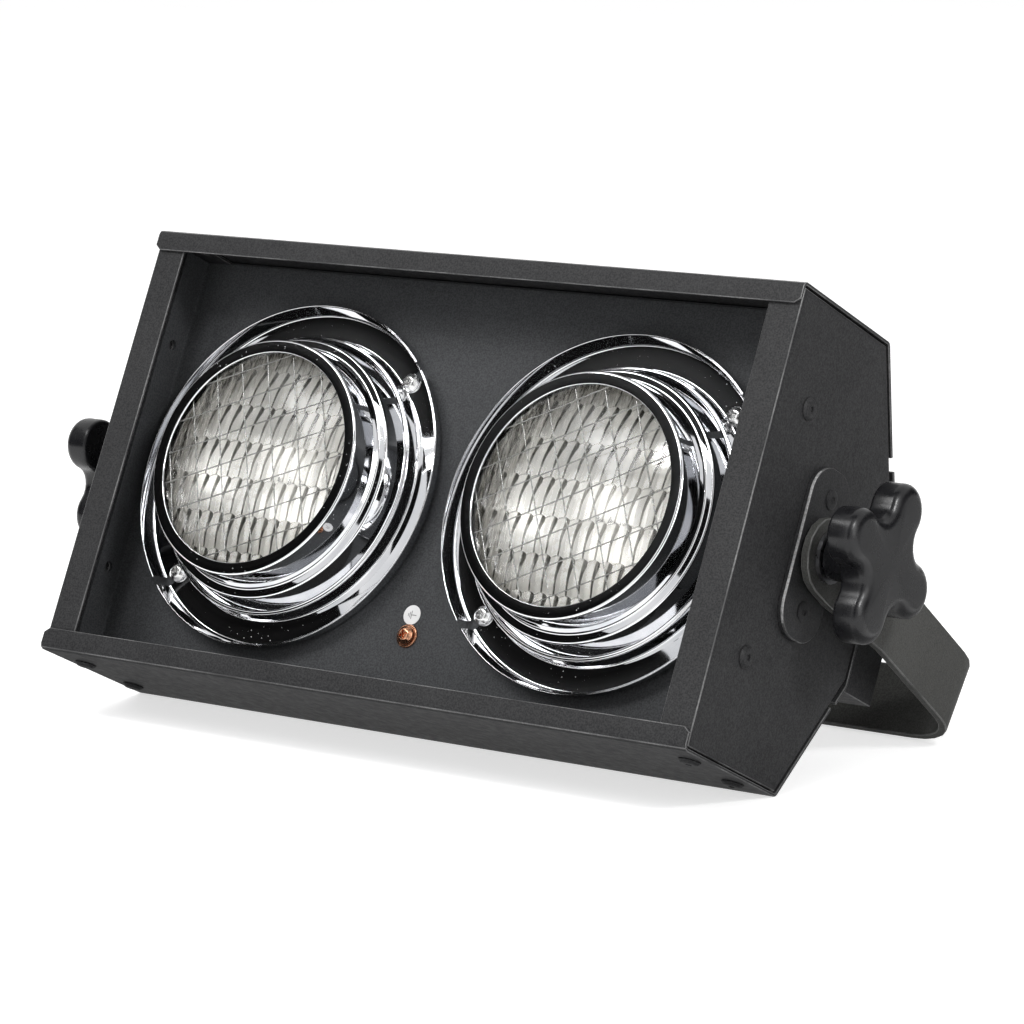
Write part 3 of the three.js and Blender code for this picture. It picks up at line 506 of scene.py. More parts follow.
# Materials
class Look:
    """A Principled material to which procedural nodes are added one by one."""

    def __init__(self, name, **values):
        self.material = bpy.data.materials.new(name)
        self.material.use_nodes = True
        self.tree = self.material.node_tree
        self.shader = self.tree.nodes["Principled BSDF"]
        for socket, value in values.items():
            self.shader.inputs[socket.replace("_", " ")].default_value = value
        self.place = self.node("ShaderNodeTexCoord").outputs["Object"]

    def node(self, kind, **settings):
        made = self.tree.nodes.new(kind)
        for key, value in settings.items():
            setattr(made, key, value)
        return made

    def link(self, output, target):
        self.tree.links.new(output, target)

    def stretched(self, scale, place=None):
        mapping = self.node("ShaderNodeMapping")
        mapping.inputs["Scale"].default_value = scale
        self.link(place or self.place, mapping.inputs["Vector"])
        return mapping.outputs["Vector"]

    def math(self, operation, *values, clamp=False):
        made = self.node("ShaderNodeMath", operation=operation, use_clamp=clamp)
        for socket, value in zip(made.inputs, values):
            if isinstance(value, (int, float)):
                socket.default_value = value
            else:
                self.link(value, socket)
        return made.outputs[0]

    def noise(self, scale, detail=3, roughness=0.5, place=None):
        made = self.node("ShaderNodeTexNoise")
        made.inputs["Scale"].default_value = scale
        made.inputs["Detail"].default_value = detail
        made.inputs["Roughness"].default_value = roughness
        self.link(place or self.place, made.inputs["Vector"])
        return made.outputs["Fac"]

    def cells(self, scale, randomness=1):
        made = self.node("ShaderNodeTexVoronoi")
        made.inputs["Scale"].default_value = scale
        made.inputs["Randomness"].default_value = randomness
        self.link(self.place, made.inputs["Vector"])
        return made.outputs["Distance"]

    def span(self, source, start, end, low, high):
        made = self.node("ShaderNodeMapRange")
        values = {"From Min": start, "From Max": end, "To Min": low, "To Max": high}
        for socket, value in values.items():
            made.inputs[socket].default_value = value
        self.link(source, made.inputs["Value"])
        return made.outputs["Result"]

    def ramp(self, source, *stops):
        made = self.node("ShaderNodeValToRGB")
        scale = made.color_ramp.elements
        while len(scale) < len(stops):
            scale.new(0.5)
        for element, (at, colour) in zip(scale, stops):
            element.position = at
            element.color = (*colour, 1)
        self.link(source, made.inputs["Fac"])
        return made.outputs["Color"]

    def bump(self, height, distance, strength=1, before=None):
        made = self.node("ShaderNodeBump")
        made.inputs["Distance"].default_value = distance
        made.inputs["Strength"].default_value = strength
        self.link(height, made.inputs["Height"])
        if before:
            self.link(before, made.inputs["Normal"])
        return made.outputs["Normal"]

    def feed(self, socket, output):
        self.link(output, self.shader.inputs[socket])


def paint(name, dark, light, rough, grain, depth, sheen=PAINT_SHEEN):
    """Powder coat: soft cloudy colour with fine specks, and a leathery surface."""
    look = Look(name, Specular_IOR_Level=sheen)
    cloud = look.span(look.noise(18, 4, 0.6), 0.3, 0.7, 0.42, 0.58)
    specks = look.span(look.noise(grain, 1), 0.35, 0.65, -0.2, 0.2)
    look.feed("Base Color", look.ramp(look.math("ADD", cloud, specks), (0.2, dark), (0.8, light)))
    look.feed("Roughness", look.span(look.noise(240, 2), 0.3, 0.7, rough - 0.05, rough + 0.05))
    orange_peel = look.bump(look.noise(420, 2), depth * 2)
    look.feed("Normal", look.bump(look.noise(grain, 2), depth, 1, orange_peel))
    return look.material


def painted_edge_highlight(name, dark, light):
    """The same coat with a painted highlight along an edge, stronger in some places than in others."""
    look = Look(name, Specular_IOR_Level=0.5)
    highlight_strength = look.math("MULTIPLY", look.span(look.noise(35, 3), 0.35, 0.6, 0.2, 1), look.noise(900, 2))
    look.feed("Base Color", look.ramp(highlight_strength, (0.1, dark), (0.6, light)))
    look.feed("Roughness", look.span(highlight_strength, 0.1, 0.6, 0.45, 0.3))
    return look.material


def chrome(name):
    """Bright plate, faintly uneven, with sparse dull specks in some places."""
    look = Look(name, Metallic=1, IOR=2.5)
    tints = look.ramp(look.noise(40), (0.3, (0.72, 0.73, 0.75)), (0.7, (0.86, 0.86, 0.87)))
    look.feed("Base Color", tints)
    patches = look.span(look.noise(16), 0.5, 0.64, 0.01, 0.095)
    specks = look.math("LESS_THAN", look.cells(430), patches)
    look.feed("Roughness", look.span(specks, 0, 1, 0.04, 0.6))
    look.feed("Normal", look.bump(look.noise(30, 1), FINE_BUMP))
    return look.material


def metal(name, dark, light, rough, scale=300, depth=FINE_BUMP):
    look = Look(name, Metallic=1)
    look.feed("Base Color", look.ramp(look.noise(scale / 4), (0.3, dark), (0.7, light)))
    look.feed("Roughness", look.span(look.noise(scale, 3), 0.3, 0.7, rough - 0.06, rough + 0.1))
    look.feed("Normal", look.bump(look.noise(scale * 2), depth))
    return look.material


def plastic(name, dark, light, rough, grain, depth, sheen=0.5):
    look = Look(name, Specular_IOR_Level=sheen)
    look.feed("Base Color", look.ramp(look.noise(60), (0.3, dark), (0.7, light)))
    look.feed("Roughness", look.span(look.noise(130, 3), 0.3, 0.7, rough - 0.05, rough + 0.07))
    look.feed("Normal", look.bump(look.noise(grain, 2), depth))
    return look.material


def painted_groove_shade(look, across, along):
    """A hook of painted shade in each cushion: broad at its upper end, then thin and upright."""
    bend = look.math("POWER", look.span(along, 0.35, 1, 0, 1), 1.6)
    middle = look.math("MULTIPLY_ADD", bend, 0.38, 0.52)
    width = look.math("MULTIPLY_ADD", look.math("MULTIPLY", along, along), 0.12, 0.06)
    gap = look.math("ABSOLUTE", look.math("SUBTRACT", across, middle))
    reach = look.math("MULTIPLY", width, 0.6)
    return look.math("SUBTRACT", 2.4, look.math("DIVIDE", gap, reach), clamp=True)


def away(look, x, z, point):
    """Distance from a point of the lens's face."""
    gaps = [look.math("ABSOLUTE", look.math("SUBTRACT", v, p)) for v, p in zip((x, z), point)]
    legs = [look.math("POWER", gap, 2) for gap in gaps]
    return look.math("SQRT", look.math("ADD", *legs))


def cushions(look, x, z):
    """Where a point of the lens lies in its cushion: across it, and along it up to the scalloped top."""
    bow = look.math("MULTIPLY", look.math("MULTIPLY", z, z), FLUTE_BOW)
    across = look.math("FRACT", look.math("DIVIDE", look.math("SUBTRACT", x, bow), FLUTE_PITCH))
    lean = look.math("MULTIPLY_ADD", across, 2, -1)
    scallop = look.math("MULTIPLY_ADD", look.math("MULTIPLY", lean, lean), -FLUTE_SCALLOP, FLUTE_SCALLOP)
    rise = look.math("SUBTRACT", look.math("SUBTRACT", z, FLUTE_TOP), scallop)
    return across, look.math("FRACT", look.math("DIVIDE", rise, FLUTE_ROW))


def pressed_glass_painted_shade():
    """Clear glass, its back painted with shade in the grooves and at the cushions' tops, weaker in a painted
    bright middle, and with a crescent of painted shade at one side.
    """
    look = Look("pressed_glass_painted_shade", Transmission_Weight=1, IOR=1.48, Roughness=0.12)
    plane = look.node("ShaderNodeAttribute", attribute_name=FACE_PLANE).outputs["Vector"]
    axes = look.node("ShaderNodeSeparateXYZ")
    look.link(plane, axes.inputs[0])
    x, z = axes.outputs["X"], axes.outputs["Z"]
    across, along = cushions(look, x, z)
    streaks = look.noise(1, 3, 0.6, look.stretched(GLASS_STREAKS, plane))
    # Painted shade along the grooves and the cushions' tops, weaker towards a painted bright middle
    painted_shade_lines = look.math("MAXIMUM", painted_groove_shade(look, across, along), look.span(along, 0.95, 0.99, 0, 0.5))
    painted_shade_lines = look.math("MULTIPLY", painted_shade_lines, look.span(away(look, x, z, PAINTED_LIGHT_MIDDLE), *PAINTED_LIGHT_REACH, 0.45, 1))
    painted_shade_lines = look.math("MULTIPLY", painted_shade_lines, look.span(streaks, 0.3, 0.6, 0.6, 1))
    # Painted shade: a dark crescent at one side of the lens
    painted_crescent_shade = look.span(away(look, x, z, SHADE_CRESCENT_MIDDLE), *SHADE_CRESCENT_REACH, 0, 0.85)
    painted_crescent_shade = look.math("MULTIPLY", painted_crescent_shade, look.span(streaks, 0.35, 0.6, 0.6, 1.1))
    back = look.math("GREATER_THAN", axes.outputs["Y"], LENS_FRONT + LENS_EDGE / 2)
    painted_shade_mask = look.math("MULTIPLY", look.math("MAXIMUM", painted_shade_lines, painted_crescent_shade), back)
    tints = look.ramp(painted_shade_mask, (0, (1, 0.995, 0.98)), (0.4, (0.2, 0.19, 0.17)), (0.8, (0.006, 0.0055, 0.004)))
    look.feed("Base Color", tints)
    look.feed("Normal", look.bump(look.noise(500, 2), FINE_BUMP))
    return look.material


def earth_insulation():
    look = Look("green_and_yellow", Roughness=0.5)
    wave = look.node("ShaderNodeTexWave", bands_direction="DIAGONAL")
    wave.inputs["Scale"].default_value = 60
    look.link(look.place, wave.inputs["Vector"])
    stripes = look.ramp(wave.outputs["Fac"], (0.45, (0.02, 0.22, 0.03)), (0.55, (0.75, 0.6, 0.02)))
    look.feed("Base Color", stripes)
    look.feed("Normal", look.bump(look.noise(900), FINE_BUMP))
    return look.material


def sleeve():
    """Braided glass-fibre sleeve."""
    look = Look("glass_sleeve", Roughness=0.8)
    weave = look.cells(1500, 0.2)
    look.feed("Base Color", look.ramp(weave, (0.1, (0.66, 0.63, 0.55)), (0.7, (0.42, 0.4, 0.34))))
    look.feed("Normal", look.bump(weave, WEAVE_BUMP))
    return look.material


LOOKS = {
    "housing_paint": paint(
        "housing_paint", (0.015, 0.015, 0.016), (0.04, 0.04, 0.041), 0.46, 1300, COAT_BUMP),
    "panel_paint": paint(
        "panel_paint", (0.034, 0.035, 0.037), (0.064, 0.066, 0.069), 0.5, 1300, SMOOTH_BUMP, PANEL_SHEEN),
    "yoke_paint": paint("yoke_paint", (0.039, 0.039, 0.037), (0.077, 0.077, 0.073), 0.48, 1300, COAT_BUMP),
    # Painted highlights for rounded edges
    "housing_edge_highlight": painted_edge_highlight("housing_edge_highlight", (0.025, 0.025, 0.026), (0.14, 0.14, 0.14)),
    "yoke_edge_highlight": painted_edge_highlight("yoke_edge_highlight", (0.045, 0.045, 0.043), (0.13, 0.13, 0.127)),
    # Painted highlight, brighter, for a plate's edge where it faces the front
    "plate_front_highlight": painted_edge_highlight("plate_front_highlight", (0.1, 0.1, 0.1), (0.5, 0.5, 0.5)),
    "chrome": chrome("chrome"),
    "screw_plate": metal("screw_plate", (0.72, 0.72, 0.72), (0.86, 0.86, 0.85), 0.2),
    "guard_wire": metal("guard_wire", (0.26, 0.26, 0.25), (0.4, 0.4, 0.39), 0.25),
    "lens_glass": pressed_glass_painted_shade(),
    "reflector": metal("reflector", (0.93, 0.925, 0.905), (0.98, 0.98, 0.97), 0.4, 120, COARSE_BUMP),
    "tungsten": metal("tungsten", (0.25, 0.25, 0.26), (0.4, 0.4, 0.41), 0.35),
    "zinc_steel": metal("zinc_steel", (0.2, 0.2, 0.21), (0.34, 0.34, 0.36), 0.3),
    "brass": metal("brass", (0.6, 0.42, 0.18), (0.75, 0.56, 0.28), 0.28),
    "copper": metal("copper", (0.5, 0.22, 0.12), (0.72, 0.38, 0.24), 0.22),
    "knob_plastic": plastic(
        "knob_plastic", (0.005, 0.005, 0.006), (0.009, 0.009, 0.01), 0.27, 800, POLISHED_BUMP, 0.35),
    "washer_fibre": plastic("washer_fibre", (0.008,) * 3, (0.018, 0.017, 0.016), 0.75, 1200, COARSE_BUMP),
    "ceramic": plastic("ceramic", (0.7, 0.67, 0.6), (0.8, 0.78, 0.72), 0.5, 900, MOULDED_BUMP),
    "label_white": plastic("label_white", (0.6, 0.6, 0.6), (0.68, 0.68, 0.68), 0.4, 600, SMOOTH_BUMP),
    "label_ink": plastic("label_ink", (0.12, 0.12, 0.12), (0.18, 0.18, 0.18), 0.5, 900, SMOOTH_BUMP),
    "lamp_lead": sleeve(),
    "earth_lead": earth_insulation(),
    "gland_nylon": plastic(
        "gland_nylon", (0.014, 0.014, 0.014), (0.022, 0.022, 0.022), 0.45, 700, MOULDED_BUMP),
}


def dress_cad_nodes():
    """Every CAD node gets its slot's material."""
    for row in frame["record"]["subparts"]:
        obj = frame["nodes"][row["node"]]
        obj.data.materials.clear()
        obj.data.materials.append(LOOKS[row["material_slot"]])


def round_edges(obj, width, painted_edge_highlight):
    """Modifiers that join a solid's facets and round its sharp edges."""
    weld = obj.modifiers.new("weld", "WELD")
    weld.merge_threshold = WELD_REACH
    flat = obj.modifiers.new("flat", "DECIMATE")
    flat.decimate_type = "DISSOLVE"
    flat.angle_limit = math.radians(FLAT_ANGLE)
    bevel = obj.modifiers.new("bevel", "BEVEL")
    bevel.width = width * MM
    bevel.segments = 3
    bevel.limit_method = "ANGLE"
    bevel.angle_limit = math.radians(EDGE_ANGLE)
    bevel.use_clamp_overlap = False
    # The bevel's faces take the painted edge highlight
    bevel.material = 1 if painted_edge_highlight else -1
    even = obj.modifiers.new("even", "WEIGHTED_NORMAL")
    even.weight = 90


def skin(node, width):
    """A node's own shape with welded facets, rounded edges and smooth bends."""
    slot = next(row["material_slot"] for row in frame["record"]["subparts"] if row["node"] == node)
    body = next(name for name, held in BODIES.items() if node in held)
    obj = bpy.data.objects.new(node + "_skin", frame["nodes"][node].data.copy())
    bpy.context.scene.collection.objects.link(obj)
    obj.data.polygons.foreach_set("use_smooth", [True] * len(obj.data.polygons))
    round_edges(obj, width, slot in EDGE_HIGHLIGHTS)
    obj.data.materials.clear()
    obj.data.materials.append(LOOKS[slot])
    # The rounded edges take a painted highlight
    if slot in EDGE_HIGHLIGHTS:
        obj.data.materials.append(LOOKS[EDGE_HIGHLIGHTS[slot]])
    bake(obj)
    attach(obj, body)
    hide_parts(node)


# Camera, floor and light
def add_camera():
    data = bpy.data.cameras.new("photo_camera")
    data.sensor_width = CAMERA_SENSOR
    data.lens = CAMERA_LENS
    data.clip_start = CAMERA_NEAR
    data.clip_end = CAMERA_FAR
    camera = bpy.data.objects.new("photo_camera", data)
    camera.location = CAMERA_PLACE
    camera.rotation_mode = "QUATERNION"
    camera.rotation_quaternion = Vector(CAMERA_LOOK).to_track_quat("-Z", "Y")
    bpy.context.scene.collection.objects.link(camera)
    bpy.context.scene.camera = camera


def seen_directly(tree):
    """1 for rays of the camera, of reflections and through glass, 0 for the light that falls on things."""
    path = tree.nodes.new("ShaderNodeLightPath")
    value = path.outputs["Is Camera Ray"]
    for name in ("Is Glossy Ray", "Is Transmission Ray"):
        either = tree.nodes.new("ShaderNodeMath")
        either.operation = "MAXIMUM"
        tree.links.new(value, either.inputs[0])
        tree.links.new(path.outputs[name], either.inputs[1])
        value = either.outputs[0]
    return value


def pale_floor():
    """A plain pale floor that glows just enough to be white around its shadow."""
    look = Look("pale_floor", Roughness=0.9, Emission_Color=(1, 1, 1, 1))
    look.feed("Base Color", look.ramp(look.noise(3), (0.3, (0.7, 0.7, 0.7)), (0.7, (0.73, 0.73, 0.73))))
    look.feed("Emission Strength", look.span(seen_directly(look.tree), 0, 1, 0, FLOOR_GLOW))
    return look.material


def add_floor():
    low = (-FLOOR_REACH, -FLOOR_REACH, -FLOOR_THICKNESS)
    floor = piece("floor", *box_part(low, (FLOOR_REACH, FLOOR_REACH, 0)), place=Matrix.Identity(4))
    floor.data.materials.append(pale_floor())


def add_world(strength):
    world = bpy.data.worlds.new("studio")
    world.use_nodes = True
    bpy.context.scene.world = world
    tree = world.node_tree
    span = tree.nodes.new("ShaderNodeMapRange")
    span.inputs["To Min"].default_value = strength
    span.inputs["To Max"].default_value = 1
    tree.links.new(seen_directly(tree), span.inputs["Value"])
    background = tree.nodes["Background"]
    background.inputs["Color"].default_value = (1, 1, 1, 1)
    tree.links.new(span.outputs["Result"], background.inputs["Strength"])


def add_flag(name, azimuth, elevation, width, height):
    """A dark card towards (azimuth, elevation), seen only in reflections."""
    flat = math.cos(math.radians(elevation))
    rise = math.sin(math.radians(elevation))
    azimuth = math.radians(azimuth)
    towards_card = Vector((flat * math.cos(azimuth), flat * math.sin(azimuth), rise))
    turn = (-towards_card).to_track_quat("Z", "Y").to_matrix().to_4x4()
    place = Matrix.Translation(Vector(FLAG_AIM) + towards_card * FLAG_DISTANCE) @ turn
    wide, high = (FLAG_DISTANCE * math.tan(math.radians(angle)) for angle in (width, height))
    card = piece(name, *box_part((-wide, -high, -FLAG_THICKNESS), (wide, high, 0)), place=place)
    card.data.materials.append(dark_card(name))
    hide_card(card, "reflections")


def dark_card(name, glow=0):
    look = Look(name, Roughness=1, Specular_IOR_Level=0, Emission_Color=(1, 1, 1, 1), Emission_Strength=glow)
    greys = look.ramp(look.noise(8), (0.3, (0.004, 0.004, 0.004)), (0.7, (0.008, 0.008, 0.008)))
    look.feed("Base Color", greys)
    return look.material


def hide_card(card, seen):
    card.visible_camera = False
    card.visible_diffuse = False
    card.visible_shadow = False
    card.visible_glossy = seen == "reflections"
    card.visible_transmission = seen == "glass"


def add_floor_card(name, seen, corner, other, glow):
    sheet = box_part((*corner, CARD_THICKNESS), (*other, 2 * CARD_THICKNESS))
    card = piece(name, *sheet, place=Matrix.Identity(4))
    card.data.materials.append(dark_card(name, glow))
    hide_card(card, seen)


def add_lamp(name, place, size, power, mirrored):
    data = bpy.data.lights.new(name, "AREA")
    data.shape = "RECTANGLE"
    data.size, data.size_y = size
    data.energy = power
    lamp = bpy.data.objects.new(name, data)
    lamp.location = place
    lamp.rotation_mode = "QUATERNION"
    lamp.rotation_quaternion = (Vector(LIGHT_AIM) - Vector(place)).to_track_quat("-Z", "Y")
    lamp.visible_glossy = mirrored
    bpy.context.scene.collection.objects.link(lamp)


def add_light():
    add_world(WORLD_STRENGTH)
    for name, card in FLAGS.items():
        add_flag(name, *card)
    for name, card in FLOOR_CARDS.items():
        add_floor_card(name, *card)
    for name, light in LIGHTS.items():
        add_lamp(name, *light)


# Lamps
def lamp_place(side):
    return Matrix.Translation((LAMP_SIDES[side] * LAMP_X, 0, LAMP_Z))


def bezel(side):
    profile = thickened(rounded(BEZEL_FOLDS), BEZEL_SHEET)
    part = carried(lathe([tuple(p) for p in profile], BEZEL_SIDES, closed=True), lamp_place(side))
    obj = piece("bezel_" + side + "_spun", *part, crease=BEZEL_CREASE)
    near, far = SLOT_DEPTHS
    low = (SLOT_CIRCLE - SLOT_WIDTH / 2, near, -SLOT_WIDTH / 2)
    for angle in SLOT_ANGLES.values():
        turn = Matrix.Rotation(-math.radians(angle), 4, "Y")
        cut(obj, carried(box_part(low, (SLOT_REACH, far, SLOT_WIDTH / 2)), lamp_place(side) @ turn))
    smooth(obj.data, BEZEL_CREASE)
    return dress(obj, "head", LOOKS["chrome"], "chrome", "bezel_" + side)


def chord(offset):
    return math.sqrt(GUARD_RADIUS ** 2 - offset ** 2)


def wire(offset, depth, upright, rng):
    """One guard wire, a little bent."""
    half = chord(offset)
    bend = rng.uniform(-WIRE_BEND, WIRE_BEND)
    points = []
    for k in range(WIRE_STEPS + 1):
        along = -half + 2 * half * k / WIRE_STEPS
        across = offset + bend * (1 - (along / half) ** 2)
        points.append((across, depth, along) if upright else (along, depth, across))
    return tube(points, WIRE)


def guard(side):
    turn, row_shift, column_shift = GUARD_LAY[side]
    rng = random.Random(turn)
    wires = []
    for k in range(-WIRES_EACH_SIDE, WIRES_EACH_SIDE + 1):
        wires.append(wire(row_shift + k * GUARD_PITCH, GUARD_ROWS + WIRE, False, rng))
        wires.append(wire(column_shift + k * GUARD_PITCH, GUARD_ROWS + WIRE + WIRE_STEP, True, rng))
    lay = lamp_place(side) @ Matrix.Rotation(-math.radians(turn), 4, "Y")
    obj = piece("guard_" + side + "_wires", *carried(joined(wires), lay), crease=WIRE_CREASE)
    return dress(obj, "head", LOOKS["guard_wire"], "guard_wire", "guard_" + side)


def flute(x, z):
    """Depth of the pressed pattern behind the lens: rows of upright cushions with scalloped tops."""
    u = (x - FLUTE_BOW * z * z) / FLUTE_PITCH
    across = 2 * (u - math.floor(u)) - 1
    v = (z - FLUTE_TOP - FLUTE_SCALLOP * (1 - across * across)) / FLUTE_ROW
    along = 2 * (v - math.floor(v)) - 1
    return FLUTE_DEPTH * (1 - across * across) + ROW_DEPTH * (1 - abs(along) ** 3)


def ring_of(radius, y, count):
    angles = [2 * math.pi * k / count for k in range(count)]
    return [(radius * math.cos(angle), y, radius * math.sin(angle)) for angle in angles]


def ringed_faces(rings, count):
    """Faces over a first point and rings with as many points each, the last ring closed flat."""
    following = [(k + 1) % count for k in range(count)]
    faces = [[0, 1 + k, 1 + j] for k, j in enumerate(following)]
    for i in range(rings - 1):
        one, two = 1 + i * count, 1 + (i + 1) * count
        faces += [[one + k, two + k, two + j, one + j] for k, j in enumerate(following)]
    last = 1 + (rings - 1) * count
    return faces + [[last + k for k in reversed(range(count))]]


def lens_shape():
    """Closed lens: the patterned back from the middle out, then the edge and the flat front."""
    back = LENS_FRONT + LENS_EDGE
    edge = BOWL_RADIUS - PATTERN_INSET
    verts = [(0, back + flute(0, 0), 0)]
    for i in range(1, LENS_RINGS + 1):
        radius = edge * (i / LENS_RINGS) ** RING_SPREAD
        fade = min(1, (edge - radius) / PATTERN_FADE)
        verts += [(x, back + flute(x, z) * fade, z) for x, _, z in ring_of(radius, 0, LENS_SPOKES)]
    front = [(LENS_RADIUS, back), (LENS_RADIUS, LENS_FRONT + LENS_CHAMFER),
             (LENS_RADIUS - LENS_CHAMFER, LENS_FRONT)]
    for radius, y in front:
        verts += ring_of(radius, y, LENS_SPOKES)
    return verts, ringed_faces(LENS_RINGS + len(front), LENS_SPOKES)


def lens(side):
    obj = piece("lens_" + side + "_fluted", *carried(lens_shape(), lamp_place(side)), crease=LENS_CREASE)
    plane = obj.data.attributes.new(FACE_PLANE, "FLOAT_VECTOR", "POINT")
    back = lamp_place(side).inverted() @ HEAD.inverted()
    for vertex, place in zip(obj.data.vertices, plane.data):
        place.vector = back @ vertex.co
    return dress(obj, "head", LOOKS["lens_glass"], "lens_glass", "lens_" + side)


def bowl_at(radius, wall):
    return RIM_FRONT + (BOWL_DEPTH + wall) * (1 - (radius / (BOWL_RADIUS + wall)) ** 2)


def reflector(side):
    """The bowl with its rim, and two screw terminals on its seat."""
    spread = [BOWL_RADIUS * i / BOWL_STEPS for i in range(BOWL_STEPS + 1)]
    inner = [(r, bowl_at(r, 0)) for r in spread]
    rim = [(LENS_RADIUS, RIM_FRONT), (LENS_RADIUS, RIM_FRONT + RIM_DEPTH)]
    outer = [(r, bowl_at(r, BOWL_WALL)) for r in BOWL_OUTER]
    seat = bowl_at(BOWL_OUTER[-1], BOWL_WALL)
    bowl = lathe(inner + rim + outer + [(0, seat)], BOWL_SIDES)
    post = lathe([(radius, seat + rise) for radius, rise in TERMINAL_OUTLINE], TERMINAL_SIDES)
    terminals = [carried(post, Matrix.Translation((x, 0, 0))) for x in TERMINAL_PLACES]
    part = carried(joined([bowl, *terminals]), lamp_place(side))
    obj = piece("reflector_" + side + "_bowl", *part)
    return dress(obj, "head", LOOKS["reflector"], "reflector", "reflector_" + side)


# Rivets and screws
def rivet_head(radius=RIVET_RADIUS, dome=RIVET_DOME):
    """Domed head of a blind rivet, with the end of its broken mandrel in the bore."""
    across, up = RIVET_SHOULDER
    foot = radius - RIVET_EDGE
    folds = [
        (foot, RIVET_LIFT, 0),
        (radius, RIVET_RIM, 0.3),
        (radius * across, dome * up, 1.6),
        (RIVET_BORE + RIVET_EDGE, dome, 0.6),
        (RIVET_BORE, dome - RIVET_MOUTH, 0.2),
        (RIVET_BORE, RIVET_FLOOR, 0.1),
        (MANDREL_RADIUS, MANDREL_RISE, 0.1),
        (0, MANDREL_TIP, 0),
    ]
    start = [(0, RIVET_LIFT), (foot, RIVET_LIFT)]
    return lathe(start + [tuple(p) for p in rounded(folds, 3)[1:]], RIVET_SIDES)


def pan_head(name, size, place, look, slot, *nodes):
    """A round screw head with a cross cut into it; its size is (radius, dome)."""
    radius, dome = size
    inset, up = HEAD_SHOULDER
    folds = [
        (radius - HEAD_EDGE, HEAD_LIFT, 0),
        (radius, HEAD_RIM, 0.3),
        (radius - inset, dome * up, 0.8),
        (radius * HEAD_TOP, dome, 2.2),
        (0, dome + HEAD_CROWN, 0),
    ]
    part = lathe([(0, HEAD_LIFT)] + [tuple(p) for p in rounded(folds, 4)], HEAD_SIDES)
    obj = piece(name, *carried(part, place), crease=HEAD_CREASE)
    reach = radius * CROSS_REACH
    bar = box_part((-reach, dome * CROSS_FLOOR, -CROSS_HALF), (reach, dome + OVERRUN, CROSS_HALF))
    for turn in (CROSS_TURN, CROSS_TURN + math.pi / 2):
        cut(obj, carried(bar, place @ Matrix.Rotation(turn, 4, "Y")))
    smooth(obj.data, HEAD_CREASE)
    return dress(obj, "head", look, slot, *nodes)


def rivet(node, axis, point):
    obj = piece(node + "_head", *carried(rivet_head(), towards(axis, point)))
    dress(obj, "head", LOOKS["housing_paint"], "housing_paint", node)


def side_rivets():
    depth, rise = SIDE_RIVET
    for side, sign in LAMP_SIDES.items():
        for level, up in (("upper", 1), ("lower", -1)):
            node = "side_rivet_" + level + "_" + side
            rivet(node, (sign, 0, 0), (sign * HALF_WIDTH, depth, up * rise))


def shell_rivets():
    for level, up in (("top", 1), ("bottom", -1)):
        for row, depth in SHELL_RIVET_DEPTHS.items():
            for side, sign in LAMP_SIDES.items():
                node = level + "_rivet_" + row + "_" + side
                rivet(node, (0, 0, up), (sign * SHELL_RIVET_X, depth, up * HALF_HEIGHT))


def bezel_screws():
    seat = PANEL_DEPTH - SEAT_GAP - BEZEL_SHEET - BEZEL_SCREW_GAP
    for side, sign in LAMP_SIDES.items():
        for level, angle in SLOT_ANGLES.items():
            x = sign * LAMP_X + SLOT_CIRCLE * math.cos(math.radians(angle))
            z = LAMP_Z + SLOT_CIRCLE * math.sin(math.radians(angle))
            place = towards((0, -1, 0), (x, seat, z))
            node = "bezel_screw_" + side + "_" + level
            pan_head(node + "_head", BEZEL_SCREW, place, LOOKS["screw_plate"], "chrome", node)


def before_panel(place, gap):
    """Carries a piece made about +Y to a place (x, z) on the panel, a gap before it."""
    x, z = place
    return towards((0, -1, 0), (x, PANEL_DEPTH - gap, z))


def earth_point():
    place = before_panel(EARTH_PLACE, EARTH_SCREW_SEAT)
    pan_head("earth_screw_head", EARTH_SCREW, place, LOOKS["copper"], "copper", "earth_screw")
    washer = lathe([tuple(p) for p in rounded(EARTH_WASHER_FOLDS, 3)], HEAD_SIDES, closed=True)
    obj = piece("earth_washer_cup", *carried(washer, before_panel(EARTH_PLACE, EARTH_WASHER_SEAT)))
    dress(obj, "head", LOOKS["copper"], "copper", "earth_washer")


def earth_sign():
    """A round white label with the sign for earth, on the panel above the earth screw."""
    lay = before_panel(LABEL_PLACE, LABEL_SEAT)
    disc = lathe([(0, LABEL_BACK)] + [tuple(p) for p in rounded(LABEL_FOLDS, 3)], LABEL_SIDES)
    label = piece("earth_label", *carried(disc, lay))
    dress(label, "head", LOOKS["label_white"], "ceramic")
    back, front = SIGN_DEPTHS
    half, foot, top = SIGN_STEM
    bars = [box_part((-half, back, foot), (half, front, top))]
    low, high = SIGN_BAR
    for k, half in enumerate(SIGN_BARS):
        drop = SIGN_PITCH * k
        bars.append(box_part((-half, back, low - drop), (half, front, high - drop)))
    sign = piece("earth_label_sign", *carried(joined(bars), lay))
    dress(sign, "head", LOOKS["label_ink"], "gland_nylon")


# Pivot plates
def plate_ring(x, inset):
    """Outline of a plate with round corners, set in from its edge."""
    radius = PLATE_CORNER - inset
    across, along = PLATE_WIDTH / 2 - PLATE_CORNER, PLATE_LENGTH / 2 - PLATE_CORNER
    ring = []
    for corner, (a, b) in enumerate(((1, 1), (-1, 1), (-1, -1), (1, -1))):
        for k in range(PLATE_CORNER_STEPS + 1):
            angle = math.pi / 2 * (corner + k / PLATE_CORNER_STEPS)
            y = PIVOT[1] + a * across + radius * math.cos(angle)
            ring.append((x, y, PIVOT[2] + b * along + radius * math.sin(angle)))
    return ring


